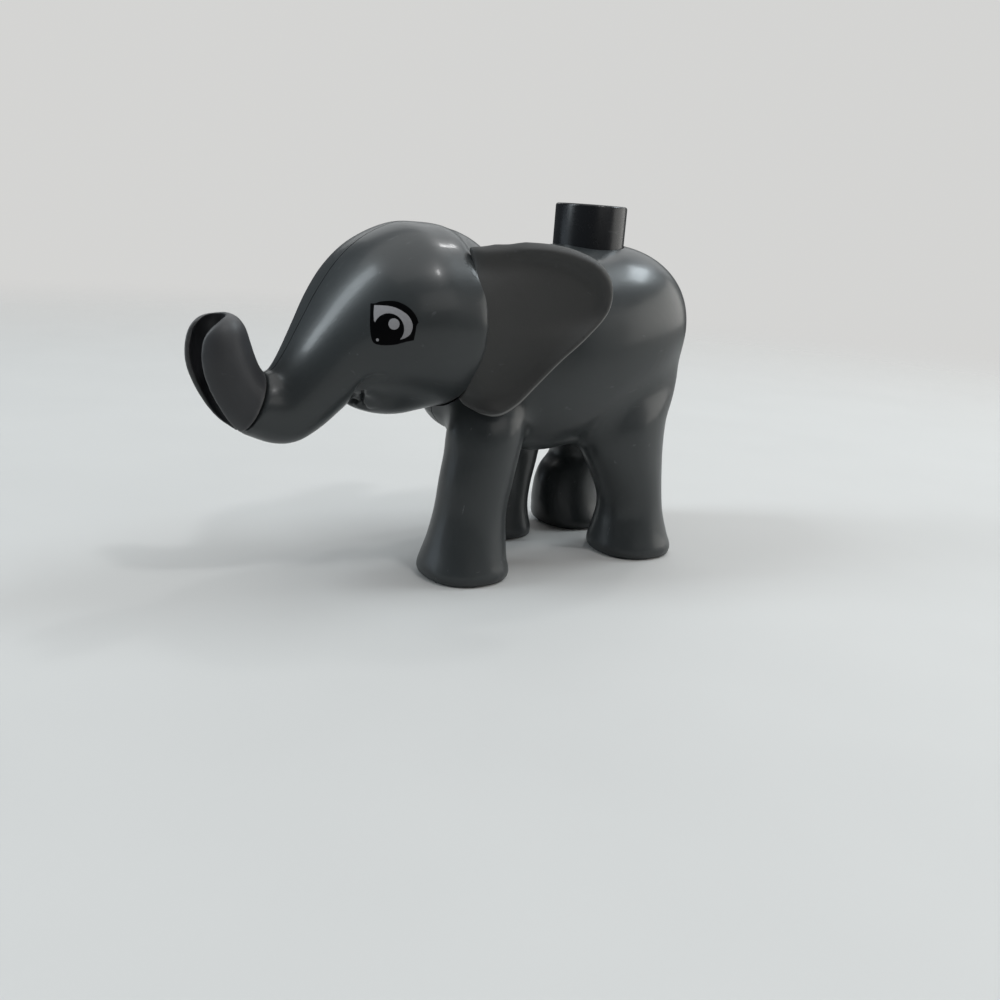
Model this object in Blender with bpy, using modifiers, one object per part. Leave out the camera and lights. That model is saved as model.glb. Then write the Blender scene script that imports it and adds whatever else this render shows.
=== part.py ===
# Toy elephant calf with a stud on its back, modelled as the pieces that it is moulded in.
# The head looks towards -X, Z is up, and the origin is on the floor under the middle.
import math

import bmesh
import bpy
import numpy as np
from mathutils import Matrix

MM = 0.001

# Mouldings in general
WALL = 1.6 * MM
SEAM_GAP = 0.3 * MM
FIT = 0.3 * MM
OVERRUN = 3.0 * MM
WELD_REACH = 0.01 * MM

# Barrel of the body, from chest to rump
BODY_LENGTH = 38.0 * MM
BODY_HEIGHT = 27.4 * MM
BODY_HALF_WIDTH = 12.3 * MM
BELLY_HEIGHT = 14.0 * MM
BODY_TOP = BELLY_HEIGHT + BODY_HEIGHT
RUMP_X = 33.9 * MM
BARREL_FULLNESS = 2.25

# Legs and feet
FOOT_RADIUS = 5.8 * MM
FOOT_FULLNESS = 2.35
ANKLE_SHARE = 0.2
SOLE_EDGE = 0.5 * MM
SOLE_RECESS_RADIUS = 4.0 * MM
SOLE_RECESS_DEPTH = 2.6 * MM
FRONT_LEG_BITE = 10.5 * MM
REAR_LEG_BITE = 14.0 * MM
FRONT_LEG_LENGTH = BELLY_HEIGHT + FRONT_LEG_BITE
REAR_LEG_LENGTH = BELLY_HEIGHT + REAR_LEG_BITE
FOOT_INSET = 5.2 * MM
HALF_TRACK = BODY_HALF_WIDTH - FOOT_INSET
FRONT_LEFT_X = -1.4 * MM
FRONT_RIGHT_X = 12.2 * MM
REAR_LEFT_X = 26.0 * MM
REAR_RIGHT_X = 26.6 * MM

# Head: a ball that nods about its own centre, and the trunk that grows out of it
HEAD_RADIUS = 11.1 * MM
HEAD_X = -4.9 * MM
HEAD_DROP = 10.0 * MM
HEAD_Z = BODY_TOP - HEAD_DROP
NAPE_SHARE = 0.98
NAPE_WIDTH_SHARE = 0.95
EAR_STEP_SHARE = 0.135
SOCKET_GAP = 0.45 * MM
SOCKET_END_SHARE = 0.97
JAW_SIZE_SHARES = (0.53, 0.52, 0.25)
JAW_PLACE_SHARES = (-0.43, -0.82)

# Ears
EAR_THICKNESS = 1.3 * MM
EAR_DISH = 0.7 * MM
EAR_PEG_RADIUS = 1.1 * MM
EAR_PEG_HEAD = 0.6 * MM
EAR_PEG_HEAD_LENGTH = 0.9 * MM
EAR_PEG_SHARES = ((0.32, 0.43), (0.32, -0.43))

# Trunk tip, the soft gripping clip
SLOT_WIDTH = 2.6 * MM
SLOT_LEAN_SHARE = 0.2
TIP_BACK = 1.7 * MM
SPIGOT_RADIUS = 1.4 * MM
SPIGOT_HEAD = 0.6 * MM
SPIGOT_HEAD_LENGTH = 0.8 * MM

# Stud on the back
STUD_RADIUS = 4.7 * MM
STUD_RISE = 4.7 * MM
STUD_TOP = BODY_TOP + STUD_RISE
STUD_X = 19.5 * MM
STUD_EDGE = 0.25 * MM
STUD_FLANGE = 1.2 * MM
STUD_FLANGE_THICKNESS = 1.4 * MM
STUD_FLANGE_DROP = 3.5 * MM
STUD_STEM_RADIUS = 3.6 * MM
STUD_STEM_LENGTH = 5.5 * MM
STUD_BORE_RADIUS = 2.3 * MM

# Nod hinge and neck
PIN_RADIUS = 1.5 * MM
PIN_LENGTH = 14.0 * MM
NECK_HALF_WIDTH = 2.6 * MM
NECK_EYE_RADIUS = 3.6 * MM
NECK_ARM_HALF_HEIGHT = 2.4 * MM
NECK_ARM_HALF_WIDTH = 2.2 * MM
NECK_FOOT_LENGTH = 6.0 * MM
NECK_FOOT_HALF_HEIGHT = 4.0 * MM
HINGE_BOSS = 1.6 * MM
NOD_UP = math.radians(12)

# Weld pegs that pin the half shells together
PEG_RADIUS = 1.3 * MM
PEG_BOSS = 1.3 * MM
PEG_BITE = 2.6 * MM

# Counts of points round a section, and of sections along a ball
RING_COUNT = 28
INNER_COUNT = 18
LEG_COUNT = 18
INNER_LEG_COUNT = 12
ROUND_COUNT = 24
PEG_COUNT = 12
SOCKET_BAND_COUNT = 14
NAPE_BAND_COUNT = 7
INNER_NAPE_BAND_COUNT = 5
JAW_BAND_COUNT = 9

# Barrel sections: place along the body, top, bottom and half width, as shares of its sizes
BARREL_SHARES = (
    (0.03, 0.588, 0.18, 0.42),
    (0.075, 0.796, 0.12, 0.60),
    (0.176, 0.916, 0.07, 0.78),
    (0.277, 0.945, 0.03, 0.91),
    (0.404, 0.967, 0.0, 0.985),
    (0.53, 0.985, 0.022, 1.0),
    (0.657, 1.0, 0.084, 0.98),
    (0.77, 0.99, 0.155, 0.92),
    (0.859, 0.953, 0.235, 0.82),
    (0.93, 0.89, 0.30, 0.68),
    (0.975, 0.81, 0.37, 0.50),
    (0.994, 0.715, 0.46, 0.27),
)

# Leg sections: height as a share of the leg, then the place forward and back and the half
# length and half width as shares of the foot, and the place to the side as a share of the track
STANDING_LEG_SHARES = (
    (0.05, -0.015, 0.975, 0.99, 1.0),
    (0.10, -0.015, 0.925, 0.94, 1.0),
    (0.185, 0.03, 0.87, 0.87, 1.0),
    (0.34, 0.09, 0.785, 0.785, 1.0),
    (0.50, 0.19, 0.80, 0.79, 1.0),
    (0.635, 0.29, 0.81, 0.80, 1.0),
    (0.77, 0.40, 0.86, 0.82, 0.96),
    (0.88, 0.56, 0.86, 0.70, 0.91),
    (1.0, 0.70, 0.70, 0.44, 0.83),
)
STEPPING_LEG_SHARES = (
    (0.05, -0.045, 0.945, 0.99, 1.0),
    (0.10, -0.045, 0.895, 0.94, 1.0),
    (0.185, -0.02, 0.85, 0.87, 1.0),
    (0.31, 0.09, 0.82, 0.79, 1.0),
    (0.46, 0.105, 0.965, 0.79, 1.0),
    (0.58, -0.10, 1.21, 0.80, 1.0),
    (0.755, -0.66, 1.15, 0.84, 0.97),
    (0.88, -0.95, 1.12, 0.76, 0.93),
    (1.0, -1.05, 0.95, 0.50, 0.87),
)
REAR_LEFT_LEG_SHARES = (
    (0.043, -0.015, 0.975, 0.99, 1.0),
    (0.09, -0.04, 0.92, 0.92, 1.0),
    (0.14, -0.06, 0.87, 0.86, 1.0),
    (0.22, -0.09, 0.80, 0.79, 1.0),
    (0.30, -0.16, 0.81, 0.76, 1.0),
    (0.42, -0.35, 0.94, 0.77, 1.0),
    (0.535, -0.53, 1.10, 0.80, 0.98),
    (0.675, -0.55, 1.20, 0.83, 0.94),
    (0.785, -0.40, 1.26, 0.76, 0.90),
    (0.89, -0.28, 1.25, 0.60, 0.87),
    (1.0, -0.28, 1.0, 0.40, 0.84),
)
REAR_RIGHT_LEG_SHARES = (
    (0.043, -0.05, 0.99, 0.99, 1.0),
    (0.09, -0.15, 0.93, 0.92, 1.0),
    (0.14, -0.26, 0.87, 0.86, 1.0),
    (0.23, -0.34, 0.79, 0.79, 1.0),
    (0.31, -0.21, 0.79, 0.76, 1.0),
    (0.39, 0.08, 0.78, 0.77, 1.0),
    (0.535, -0.02, 0.92, 0.80, 0.98),
    (0.675, -0.15, 1.05, 0.83, 0.94),
    (0.785, -0.30, 1.18, 0.76, 0.90),
    (0.89, -0.35, 1.14, 0.60, 0.87),
    (1.0, -0.35, 0.90, 0.40, 0.84),
)

# Face and trunk sections: a point of the upper outline, a point of the lower one and the
# half width, from behind the eyes to the end of the trunk, as shares of the head's radius
FACE_SHARES = (
    (0.115, 0.993, 0.115, -0.993, 1.11),
    (-0.09, 1.0, -0.09, -0.995, 1.12),
    (-0.405, 0.982, -0.315, -0.946, 1.10),
    (-0.766, 0.82, -0.568, -0.883, 1.01),
    (-1.036, 0.586, -0.757, -0.847, 0.885),
    (-1.252, 0.288, -0.92, -0.85, 0.74),
    (-1.432, -0.036, -1.09, -1.015, 0.605),
    (-1.595, -0.342, -1.275, -1.18, 0.50),
    (-1.712, -0.523, -1.505, -1.311, 0.42),
    (-1.775, -0.568, -1.757, -1.315, 0.37),
    (-1.838, -0.577, -2.09, -1.189, 0.335),
)
TIP_SHARES = (
    (-1.838, -0.577, -2.09, -1.189, 0.335),
    (-1.901, -0.495, -2.315, -1.027, 0.342),
    (-1.955, -0.369, -2.505, -0.757, 0.347),
    (-2.0, -0.234, -2.613, -0.468, 0.342),
    (-2.045, -0.108, -2.595, -0.198, 0.306),
    (-2.115, -0.018, -2.50, -0.045, 0.22),
    (-2.20, 0.022, -2.40, 0.018, 0.12),
)
# How much of the way in from its front each of those sections is slotted
SLOT_DEPTH_SHARES = (0.0, 0.55, 0.95, 1.0, 1.0, 1.0, 1.0)

# Ear outline as shares of the head's radius: places along X and Z down its root on the nape,
# and the place along X, Z and out from the mid plane of the free edge across from each
EAR_ROOT_SHARES = (
    (0.16, 0.77),
    (0.16, 0.60),
    (0.16, 0.36),
    (0.16, 0.05),
    (0.16, -0.24),
    (0.165, -0.44),
    (0.18, -0.57),
    (0.21, -0.63),
)
EAR_EDGE_SHARES = (
    (0.50, 0.845, 1.02),
    (1.12, 0.80, 1.26),
    (1.43, 0.60, 1.38),
    (1.43, 0.22, 1.40),
    (1.08, -0.21, 1.335),
    (0.70, -0.61, 1.235),
    (0.36, -0.865, 1.165),
    (0.02, -0.84, 1.06),
)
EAR_BLEND_SHARES = (0.0, 0.16, 0.36, 0.56, 0.76, 0.92, 1.0)

for old in list(bpy.data.objects):
    bpy.data.objects.remove(old)
pieces = bpy.data.collections.new("toy_elephant_calf")
cutters = bpy.data.collections.new("cutters")
for group in (pieces, cutters):
    bpy.context.scene.collection.children.link(group)


def material(name, colour, roughness):
    """A plain moulded plastic."""
    made = bpy.data.materials.new(name)
    made.use_nodes = True
    shader = made.node_tree.nodes["Principled BSDF"]
    shader.inputs["Base Color"].default_value = (*colour, 1)
    shader.inputs["Roughness"].default_value = roughness
    shader.inputs["Metallic"].default_value = 0
    return made


# Colour and roughness of each plastic
HIDE_PLASTIC = ((0.070, 0.080, 0.084), 0.32)
SOFT_PLASTIC = ((0.050, 0.052, 0.054), 0.55)
STUD_PLASTIC = ((0.030, 0.034, 0.038), 0.28)
INNER_PLASTIC = ((0.22, 0.23, 0.24), 0.45)


def add_piece(name, mesh, plastic, mover=None):
    """A piece with a material of its own, which may hang from the empty on its joint's axis."""
    mesh.materials.clear()
    mesh.materials.append(material(name + "_plastic", *plastic))
    made = bpy.data.objects.new(name, mesh)
    pieces.objects.link(made)
    if mover:
        made.parent = mover
        made.matrix_parent_inverse = Matrix.Translation(-mover.location)
    return made


def cutter(mesh):
    """A hidden object that a Boolean reads."""
    made = bpy.data.objects.new(mesh.name, mesh)
    cutters.objects.link(made)
    made.hide_render = True
    made.display_type = "WIRE"
    return made


def boolean(target, others, operation):
    for other in others:
        step = target.modifiers.new(operation.lower() + "_" + other.name, "BOOLEAN")
        step.operation = operation
        step.solver = "EXACT"
        step.object = other


def cut(target, *others):
    boolean(target, others, "DIFFERENCE")


def join(target, *others):
    boolean(target, others, "UNION")


def lofted(name, rings):
    """Skins closed flat rings of equal count and closes both ends."""
    bm = bmesh.new()
    skins = [[bm.verts.new(point) for point in ring] for ring in rings]
    for near, far in zip(skins, skins[1:]):
        for i, vert in enumerate(near):
            after = (i + 1) % len(near)
            bm.faces.new((vert, near[after], far[after], far[i]))
    bm.faces.new(skins[0])
    bm.faces.new(skins[-1])
    bmesh.ops.recalc_face_normals(bm, faces=bm.faces)
    mesh = bpy.data.meshes.new(name)
    bm.to_mesh(mesh)
    bm.free()
    return mesh


def smooth_rows(rows, per_span):
    """Rows of numbers carried on a smooth curve through the given rows."""
    rows = np.array(rows, float)
    ends = np.vstack([2 * rows[0] - rows[1], rows, 2 * rows[-1] - rows[-2]])
    out = []
    for a, b, c, d in zip(ends, ends[1:], ends[2:], ends[3:]):
        for t in np.arange(per_span) / per_span:
            bend = (2 * a - 5 * b + 4 * c - d) * t**2 + (3 * b - a - 3 * c + d) * t**3
            out.append((2 * b + (c - a) * t + bend) / 2)
    out.append(rows[-1])
    return np.array(out)


def upright_ring(upper, lower, half_width, count, fullness=2.0):
    """A closed section that stands between two outline points of the mid plane."""
    middle = (np.array(upper) + np.array(lower)) / 2
    arm = (np.array(upper) - np.array(lower)) / 2
    ring = []
    for i in range(count):
        turn = 2 * math.pi * (i + 0.5) / count
        up, out = math.cos(turn), math.sin(turn)
        up = math.copysign(abs(up) ** (2 / fullness), up)
        out = math.copysign(abs(out) ** (2 / fullness), out)
        ring.append((middle[0] + arm[0] * up, half_width * out, middle[1] + arm[1] * up))
    return ring


def level_ring(x, y, z, half_length, half_width, count, fullness=2.0):
    """A horizontal section, round or somewhat square."""
    ring = []
    for i in range(count):
        turn = 2 * math.pi * (i + 0.5) / count
        along, out = math.cos(turn), math.sin(turn)
        along = math.copysign(abs(along) ** (2 / fullness), along)
        out = math.copysign(abs(out) ** (2 / fullness), out)
        ring.append((x + half_length * along, y + half_width * out, z))
    return ring


def turned(name, place, axis, profile, count=ROUND_COUNT):
    """A solid turned about an axis: profile holds (distance along the axis, radius) pairs."""
    axis = np.array(axis, float) / np.linalg.norm(axis)
    side = np.cross(axis, (0.0, 0.0, 1.0) if abs(axis[2]) < 0.5 else (1.0, 0.0, 0.0))
    side /= np.linalg.norm(side)
    other = np.cross(axis, side)
    rings = []
    for distance, radius in profile:
        ring = []
        for i in range(count):
            turn = 2 * math.pi * (i + 0.5) / count
            spoke = side * math.cos(turn) + other * math.sin(turn)
            ring.append(np.array(place) + axis * distance + spoke * radius)
        rings.append(ring)
    return lofted(name, rings)


def box(name, low, high):
    """A box between two corners."""
    low, high = np.array(low), np.array(high)
    bm = bmesh.new()
    made = bmesh.ops.create_cube(bm, size=1)
    bmesh.ops.scale(bm, vec=high - low, verts=made["verts"])
    bmesh.ops.translate(bm, vec=(low + high) / 2, verts=made["verts"])
    mesh = bpy.data.meshes.new(name)
    bm.to_mesh(mesh)
    bm.free()
    return mesh


# The half shells are cut back from the mid plane by half of the seam's gap
SIDE_NAMES = {-1: "left", 1: "right"}
FAR = 3 * BODY_LENGTH


def halving_block(side):
    """Takes away all that isn't on the given side, -1 for left and 1 for right."""
    edges = sorted((side * SEAM_GAP / 2, -side * FAR))
    low, high = (-FAR, edges[0], -FAR), (FAR, edges[1], FAR)
    return cutter(box("keep_" + SIDE_NAMES[side], low, high))


HALVING = {side: halving_block(side) for side in SIDE_NAMES}


def weld_pegs(shell, side, places, core, reach):
    """Bosses between the half shells: a peg on the left one, and its bore on the right one."""
    outer = PEG_RADIUS + PEG_BOSS
    for name, x, z, clear_half in places:
        name = shell.name + "_" + name
        face = clear_half + FIT
        if side < 0:
            profile = (
                (-reach, outer),
                (-face, outer),
                (-face, PEG_RADIUS),
                (face + PEG_BITE, PEG_RADIUS),
            )
        else:
            profile = ((face, outer), (reach, outer))
        boss = cutter(turned(name, (x, 0, z), (0, 1, 0), profile, PEG_COUNT))
        # The boss stops halfway through the wall that it stands on
        boolean(boss, (core,), "INTERSECT")
        join(shell, boss)
        if side > 0:
            wide = PEG_RADIUS + FIT
            bore = ((face - OVERRUN / 2, wide), (face + PEG_BITE + FIT, wide))
            cut(shell, cutter(turned(name + "_bore", (x, 0, z), (0, 1, 0), bore, PEG_COUNT)))


# The head's nape and the socket that it turns in share the hinge's axis
head_nod = bpy.data.objects.new("head_nod", None)
head_nod.location = (HEAD_X, 0, HEAD_Z)
pieces.objects.link(head_nod)
NAPE_RADIUS = HEAD_RADIUS * NAPE_SHARE
NAPE_HALF_WIDTH = HEAD_RADIUS * NAPE_WIDTH_SHARE


def nape_rings(extra, count, bands, front_x):
    """Sections of the ball, grown by extra, from its back pole to front_x from its centre."""
    radius, half_width = NAPE_RADIUS + extra, NAPE_HALF_WIDTH + extra
    last = math.acos(front_x / radius)
    rings = []
    for band in range(bands):
        turn = last * (band + 1) / bands
        x, reach = radius * math.cos(turn), radius * math.sin(turn)
        upper, lower = (HEAD_X + x, HEAD_Z + reach), (HEAD_X + x, HEAD_Z - reach)
        rings.append(upright_ring(upper, lower, half_width * math.sin(turn), count))
    return rings


def socket_ball(name, extra):
    radius = NAPE_RADIUS + extra
    return cutter(lofted(name, nape_rings(extra, RING_COUNT, SOCKET_BAND_COUNT, -SOCKET_END_SHARE * radius)))


SOCKET = socket_ball("socket", SOCKET_GAP)
SOCKET_BACK = socket_ball("socket_back", SOCKET_GAP + WALL)
NECK_ARM_END = HEAD_X + NAPE_RADIUS + SOCKET_GAP + WALL + FIT
NECK_FOOT_END = NECK_ARM_END + NECK_FOOT_LENGTH
NECK_WINDOW = cutter(
    box(
        "neck_window",
        (HEAD_X, -NECK_HALF_WIDTH - FIT, HEAD_Z - NECK_ARM_HALF_HEIGHT - FIT),
        (NECK_ARM_END + FIT, NECK_HALF_WIDTH + FIT, HEAD_Z + NECK_ARM_HALF_HEIGHT + FIT),
    )
)

# Body shells, one moulding for each side with its two legs
FLANGE_TOP = BODY_TOP - STUD_FLANGE_DROP
STEM_BOTTOM = FLANGE_TOP - STUD_FLANGE_THICKNESS - STUD_STEM_LENGTH
STEM_PEG_Z = STEM_BOTTOM + STUD_STEM_LENGTH / 2
NECK_PEG_X = (NECK_ARM_END + NECK_FOOT_END) / 2
# The rump's peg: its place ahead of the rump and above the belly, as shares of the barrel
RUMP_PEG_SHARES = (0.20, 0.60)
RUMP_PEG_X = RUMP_X - BODY_LENGTH * RUMP_PEG_SHARES[0]
RUMP_PEG_Z = BELLY_HEIGHT + BODY_HEIGHT * RUMP_PEG_SHARES[1]
BODY_PEGS = (
    ("neck_peg", NECK_PEG_X, HEAD_Z, NECK_HALF_WIDTH),
    ("stud_peg", STUD_X, STEM_PEG_Z, STUD_STEM_RADIUS),
    ("rump_peg", RUMP_PEG_X, RUMP_PEG_Z, SEAM_GAP / 2),
)
STUD_HOLE = cutter(
    turned(
        "stud_hole", (STUD_X, 0, 0), (0, 0, 1),
        ((FLANGE_TOP, STUD_RADIUS + FIT), (STUD_TOP + OVERRUN, STUD_RADIUS + FIT)),
    )
)
LEGS = {
    -1: (
        ("front", STANDING_LEG_SHARES, FRONT_LEFT_X, FRONT_LEG_LENGTH),
        ("rear", REAR_LEFT_LEG_SHARES, REAR_LEFT_X, REAR_LEG_LENGTH),
    ),
    1: (
        ("front", STEPPING_LEG_SHARES, FRONT_RIGHT_X, FRONT_LEG_LENGTH),
        ("rear", REAR_RIGHT_LEG_SHARES, REAR_RIGHT_X, REAR_LEG_LENGTH),
    ),
}


def barrel_rings(inset, count, per_span):
    """Sections of the barrel, or of the hollow that lies inset inside it."""
    middle_x = RUMP_X - BODY_LENGTH / 2
    length = BODY_LENGTH - 2 * inset
    rings = []
    for along, top, bottom, width in smooth_rows(BARREL_SHARES, per_span):
        x = middle_x + length * (along - 0.5)
        upper = BELLY_HEIGHT + BODY_HEIGHT * top - inset
        lower = BELLY_HEIGHT + BODY_HEIGHT * bottom + inset
        half_width = BODY_HALF_WIDTH * width - inset
        if half_width > inset / 2:
            upper, lower = (x, upper), (x, lower)
            rings.append(upright_ring(upper, lower, half_width, count, BARREL_FULLNESS))
    return rings


def leg_rings(shares, foot_x, leg_length, side, inset, count):
    """Sections of a leg up from its sole, or of the hollow that lies inset inside it."""
    base = SOLE_RECESS_DEPTH + inset if inset else 0.0
    kept = [row for row in shares if row[0] * leg_length > base]
    rings = []
    if not inset:
        edge, y = FOOT_RADIUS - SOLE_EDGE, side * HALF_TRACK
        rings.append(level_ring(foot_x, y, base, edge, edge, count, FOOT_FULLNESS))
    else:
        # The hollow's floor, over the recess in the sole
        kept.insert(0, (base / leg_length, *kept[0][1:]))
    for height, forward, length, width, out in kept:
        x = foot_x + FOOT_RADIUS * forward
        y = side * HALF_TRACK * out
        half_length = FOOT_RADIUS * length - inset
        half_width = FOOT_RADIUS * width - inset
        # The foot is squarish, and rounds off up to the ankle
        fullness = 2 + (FOOT_FULLNESS - 2) * max(0, 1 - height / ANKLE_SHARE)
        z = leg_length * height
        rings.append(level_ring(x, y, z, half_length, half_width, count, fullness))
    return rings


BODY_CORE = cutter(lofted("body_core", barrel_rings(WALL / 2, INNER_COUNT, 1)))


def body_shell(side):
    name = "body_" + SIDE_NAMES[side] + "_shell"
    shell = add_piece(name, lofted(name, barrel_rings(0, RING_COUNT, 2)), HIDE_PLASTIC)
    hollow = cutter(lofted(name + "_hollow", barrel_rings(WALL, INNER_COUNT, 1)))
    recesses = []
    for place, shares, foot_x, leg_length in LEGS[side]:
        part = name + "_" + place + "_leg"
        outer = leg_rings(shares, foot_x, leg_length, side, 0, LEG_COUNT)
        join(shell, cutter(lofted(part, outer)))
        inner = leg_rings(shares, foot_x, leg_length, side, WALL, INNER_LEG_COUNT)
        join(hollow, cutter(lofted(part + "_hollow", inner)))
        profile = ((-OVERRUN, SOLE_RECESS_RADIUS), (SOLE_RECESS_DEPTH, SOLE_RECESS_RADIUS))
        sole = (foot_x, side * HALF_TRACK, 0)
        recesses.append(cutter(turned(part + "_recess", sole, (0, 0, 1), profile)))
    # The socket keeps a wall of its own behind the ball
    cut(hollow, SOCKET_BACK)
    cut(shell, SOCKET, hollow, NECK_WINDOW, STUD_HOLE, *recesses, HALVING[side])
    weld_pegs(shell, side, BODY_PEGS, BODY_CORE, BODY_HALF_WIDTH)
    return shell


# Stud, trapped by its flange under the body's skin
def back_stud():
    flange = STUD_RADIUS + STUD_FLANGE
    flange_bottom = FLANGE_TOP - STUD_FLANGE_THICKNESS
    profile = (
        (STEM_BOTTOM, STUD_STEM_RADIUS),
        (flange_bottom, STUD_STEM_RADIUS),
        (flange_bottom, flange),
        (FLANGE_TOP, flange),
        (FLANGE_TOP, STUD_RADIUS),
        (STUD_TOP - STUD_EDGE, STUD_RADIUS),
        (STUD_TOP, STUD_RADIUS - STUD_EDGE),
    )
    mesh = turned("back_stud", (STUD_X, 0, 0), (0, 0, 1), profile)
    stud = add_piece("back_stud", mesh, STUD_PLASTIC)
    bore = ((STEM_BOTTOM - OVERRUN, STUD_BORE_RADIUS), (STUD_TOP - WALL, STUD_BORE_RADIUS))
    cross = ((-STUD_RADIUS, PEG_RADIUS + FIT), (STUD_RADIUS, PEG_RADIUS + FIT))
    cut(
        stud,
        cutter(turned("stud_bore", (STUD_X, 0, 0), (0, 0, 1), bore, LEG_COUNT)),
        cutter(turned("stud_cross_hole", (STUD_X, 0, STEM_PEG_Z), (0, 1, 0), cross, PEG_COUNT)),
    )


# Neck link, pinned to the head at its eye and trapped in the body by its foot
def neck_link():
    eye = ((-NECK_HALF_WIDTH, NECK_EYE_RADIUS), (NECK_HALF_WIDTH, NECK_EYE_RADIUS))
    mesh = turned("neck_link", (HEAD_X, 0, HEAD_Z), (0, 1, 0), eye)
    link = add_piece("neck_link", mesh, INNER_PLASTIC)
    arm = box(
        "neck_arm",
        (HEAD_X, -NECK_ARM_HALF_WIDTH, HEAD_Z - NECK_ARM_HALF_HEIGHT),
        (NECK_FOOT_END - FIT, NECK_ARM_HALF_WIDTH, HEAD_Z + NECK_ARM_HALF_HEIGHT),
    )
    foot = box(
        "neck_foot",
        (NECK_ARM_END, -NECK_HALF_WIDTH, HEAD_Z - NECK_FOOT_HALF_HEIGHT),
        (NECK_FOOT_END, NECK_HALF_WIDTH, HEAD_Z + NECK_FOOT_HALF_HEIGHT),
    )
    through = NECK_HALF_WIDTH + OVERRUN
    holes = (
        ("neck_eye_bore", HEAD_X, PIN_RADIUS + FIT, ROUND_COUNT),
        ("neck_peg_bore", NECK_PEG_X, PEG_RADIUS + FIT, PEG_COUNT),
    )
    join(link, cutter(arm), cutter(foot))
    for name, x, radius, count in holes:
        profile = ((-through, radius), (through, radius))
        cut(link, cutter(turned(name, (x, 0, HEAD_Z), (0, 1, 0), profile, count)))


def neck_pin():
    profile = (
        (-PIN_LENGTH / 2, PIN_RADIUS - STUD_EDGE),
        (-PIN_LENGTH / 2 + STUD_EDGE, PIN_RADIUS),
        (PIN_LENGTH / 2 - STUD_EDGE, PIN_RADIUS),
        (PIN_LENGTH / 2, PIN_RADIUS - STUD_EDGE),
    )
    mesh = turned("neck_pin", (HEAD_X, 0, HEAD_Z), (0, 1, 0), profile)
    add_piece("neck_pin", mesh, INNER_PLASTIC, head_nod)


# Head shells, split down the forehead and the trunk
def head_point(x_share, z_share):
    return np.array((HEAD_X + HEAD_RADIUS * x_share, HEAD_Z + HEAD_RADIUS * z_share))


SEAM_UPPER = head_point(*FACE_SHARES[-1][0:2])
SEAM_LOWER = head_point(*FACE_SHARES[-1][2:4])
SEAM_MIDDLE = (SEAM_UPPER + SEAM_LOWER) / 2
SEAM_ARM = (SEAM_UPPER - SEAM_LOWER) / np.linalg.norm(SEAM_UPPER - SEAM_LOWER)
TRUNK_WAY = np.array((-SEAM_ARM[1], SEAM_ARM[0]))


def face_rings(inset, count, per_span):
    """Sections of the face and trunk, or of the hollow that lies inset inside them."""
    rings = []
    for x1, z1, x2, z2, width in smooth_rows(FACE_SHARES, per_span):
        upper, lower = head_point(x1, z1), head_point(x2, z2)
        arm = (upper - lower) / np.linalg.norm(upper - lower)
        half_width = HEAD_RADIUS * width - inset
        rings.append(upright_ring(upper - arm * inset, lower + arm * inset, half_width, count))
    return rings


def head_solid(name):
    """The outer form of the whole head, to the seam of the trunk's tip."""
    face = face_rings(0, RING_COUNT, 2)
    back_off = TRUNK_WAY * SEAM_GAP / 2
    face[-1] = [(x - back_off[0], y, z - back_off[1]) for x, y, z in face[-1]]
    nape = nape_rings(0, RING_COUNT, NAPE_BAND_COUNT, HEAD_RADIUS * EAR_STEP_SHARE)
    return lofted(name, nape + face)


def head_inside(name, inset):
    """The head's form inset by some of its wall, stopping well short of the trunk's tip."""
    face = face_rings(inset, INNER_COUNT, 1)
    nape = nape_rings(-inset, INNER_COUNT, INNER_NAPE_BAND_COUNT, HEAD_RADIUS * EAR_STEP_SHARE)
    return lofted(name, nape + face[1:-1])


def jaw(name):
    """The lower lip and chin under the trunk's root."""
    place = head_point(*JAW_PLACE_SHARES)
    length, width, height = (HEAD_RADIUS * share for share in JAW_SIZE_SHARES)
    rings = []
    for band in range(1, JAW_BAND_COUNT + 1):
        turn = math.pi * band / (JAW_BAND_COUNT + 1)
        x, reach = place[0] - length * math.cos(turn), height * math.sin(turn)
        upper, lower = (x, place[1] + reach), (x, place[1] - reach)
        rings.append(upright_ring(upper, lower, width * math.sin(turn), LEG_COUNT))
    return lofted(name, rings)


HEAD_HOLLOW = cutter(head_inside("head_hollow", WALL))
HEAD_CORE = cutter(head_inside("head_core", WALL / 2))
JAW = cutter(jaw("jaw"))
SLOT_HALF_HEIGHT = NECK_ARM_HALF_HEIGHT + NAPE_RADIUS * math.sin(NOD_UP) + FIT
NECK_SLOT = cutter(
    box(
        "neck_slot",
        (HEAD_X + NECK_EYE_RADIUS, -NECK_HALF_WIDTH - FIT, HEAD_Z - SLOT_HALF_HEIGHT),
        (HEAD_X + HEAD_RADIUS + OVERRUN, NECK_HALF_WIDTH + FIT, HEAD_Z + SLOT_HALF_HEIGHT),
    )
)
PLUG_WAY = (-TRUNK_WAY[0], 0, -TRUNK_WAY[1])
SEAM_CENTRE = (SEAM_MIDDLE[0], 0, SEAM_MIDDLE[1])
HEAD_START = WALL + FIT
PLUG_BORE = cutter(
    turned(
        "plug_bore", SEAM_CENTRE, PLUG_WAY,
        (
            (-OVERRUN, SPIGOT_RADIUS + FIT),
            (WALL, SPIGOT_RADIUS + FIT),
            (WALL, SPIGOT_RADIUS + SPIGOT_HEAD + FIT),
            (HEAD_START + SPIGOT_HEAD_LENGTH + FIT, SPIGOT_RADIUS + SPIGOT_HEAD + FIT),
        ),
        LEG_COUNT,
    )
)
HEAD_PEG_SHARES = (("brow_peg", -0.60, 0.30), ("trunk_peg", -1.12, -0.40))
HEAD_PEGS = [(name, *head_point(x, z), SEAM_GAP / 2) for name, x, z in HEAD_PEG_SHARES]


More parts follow.
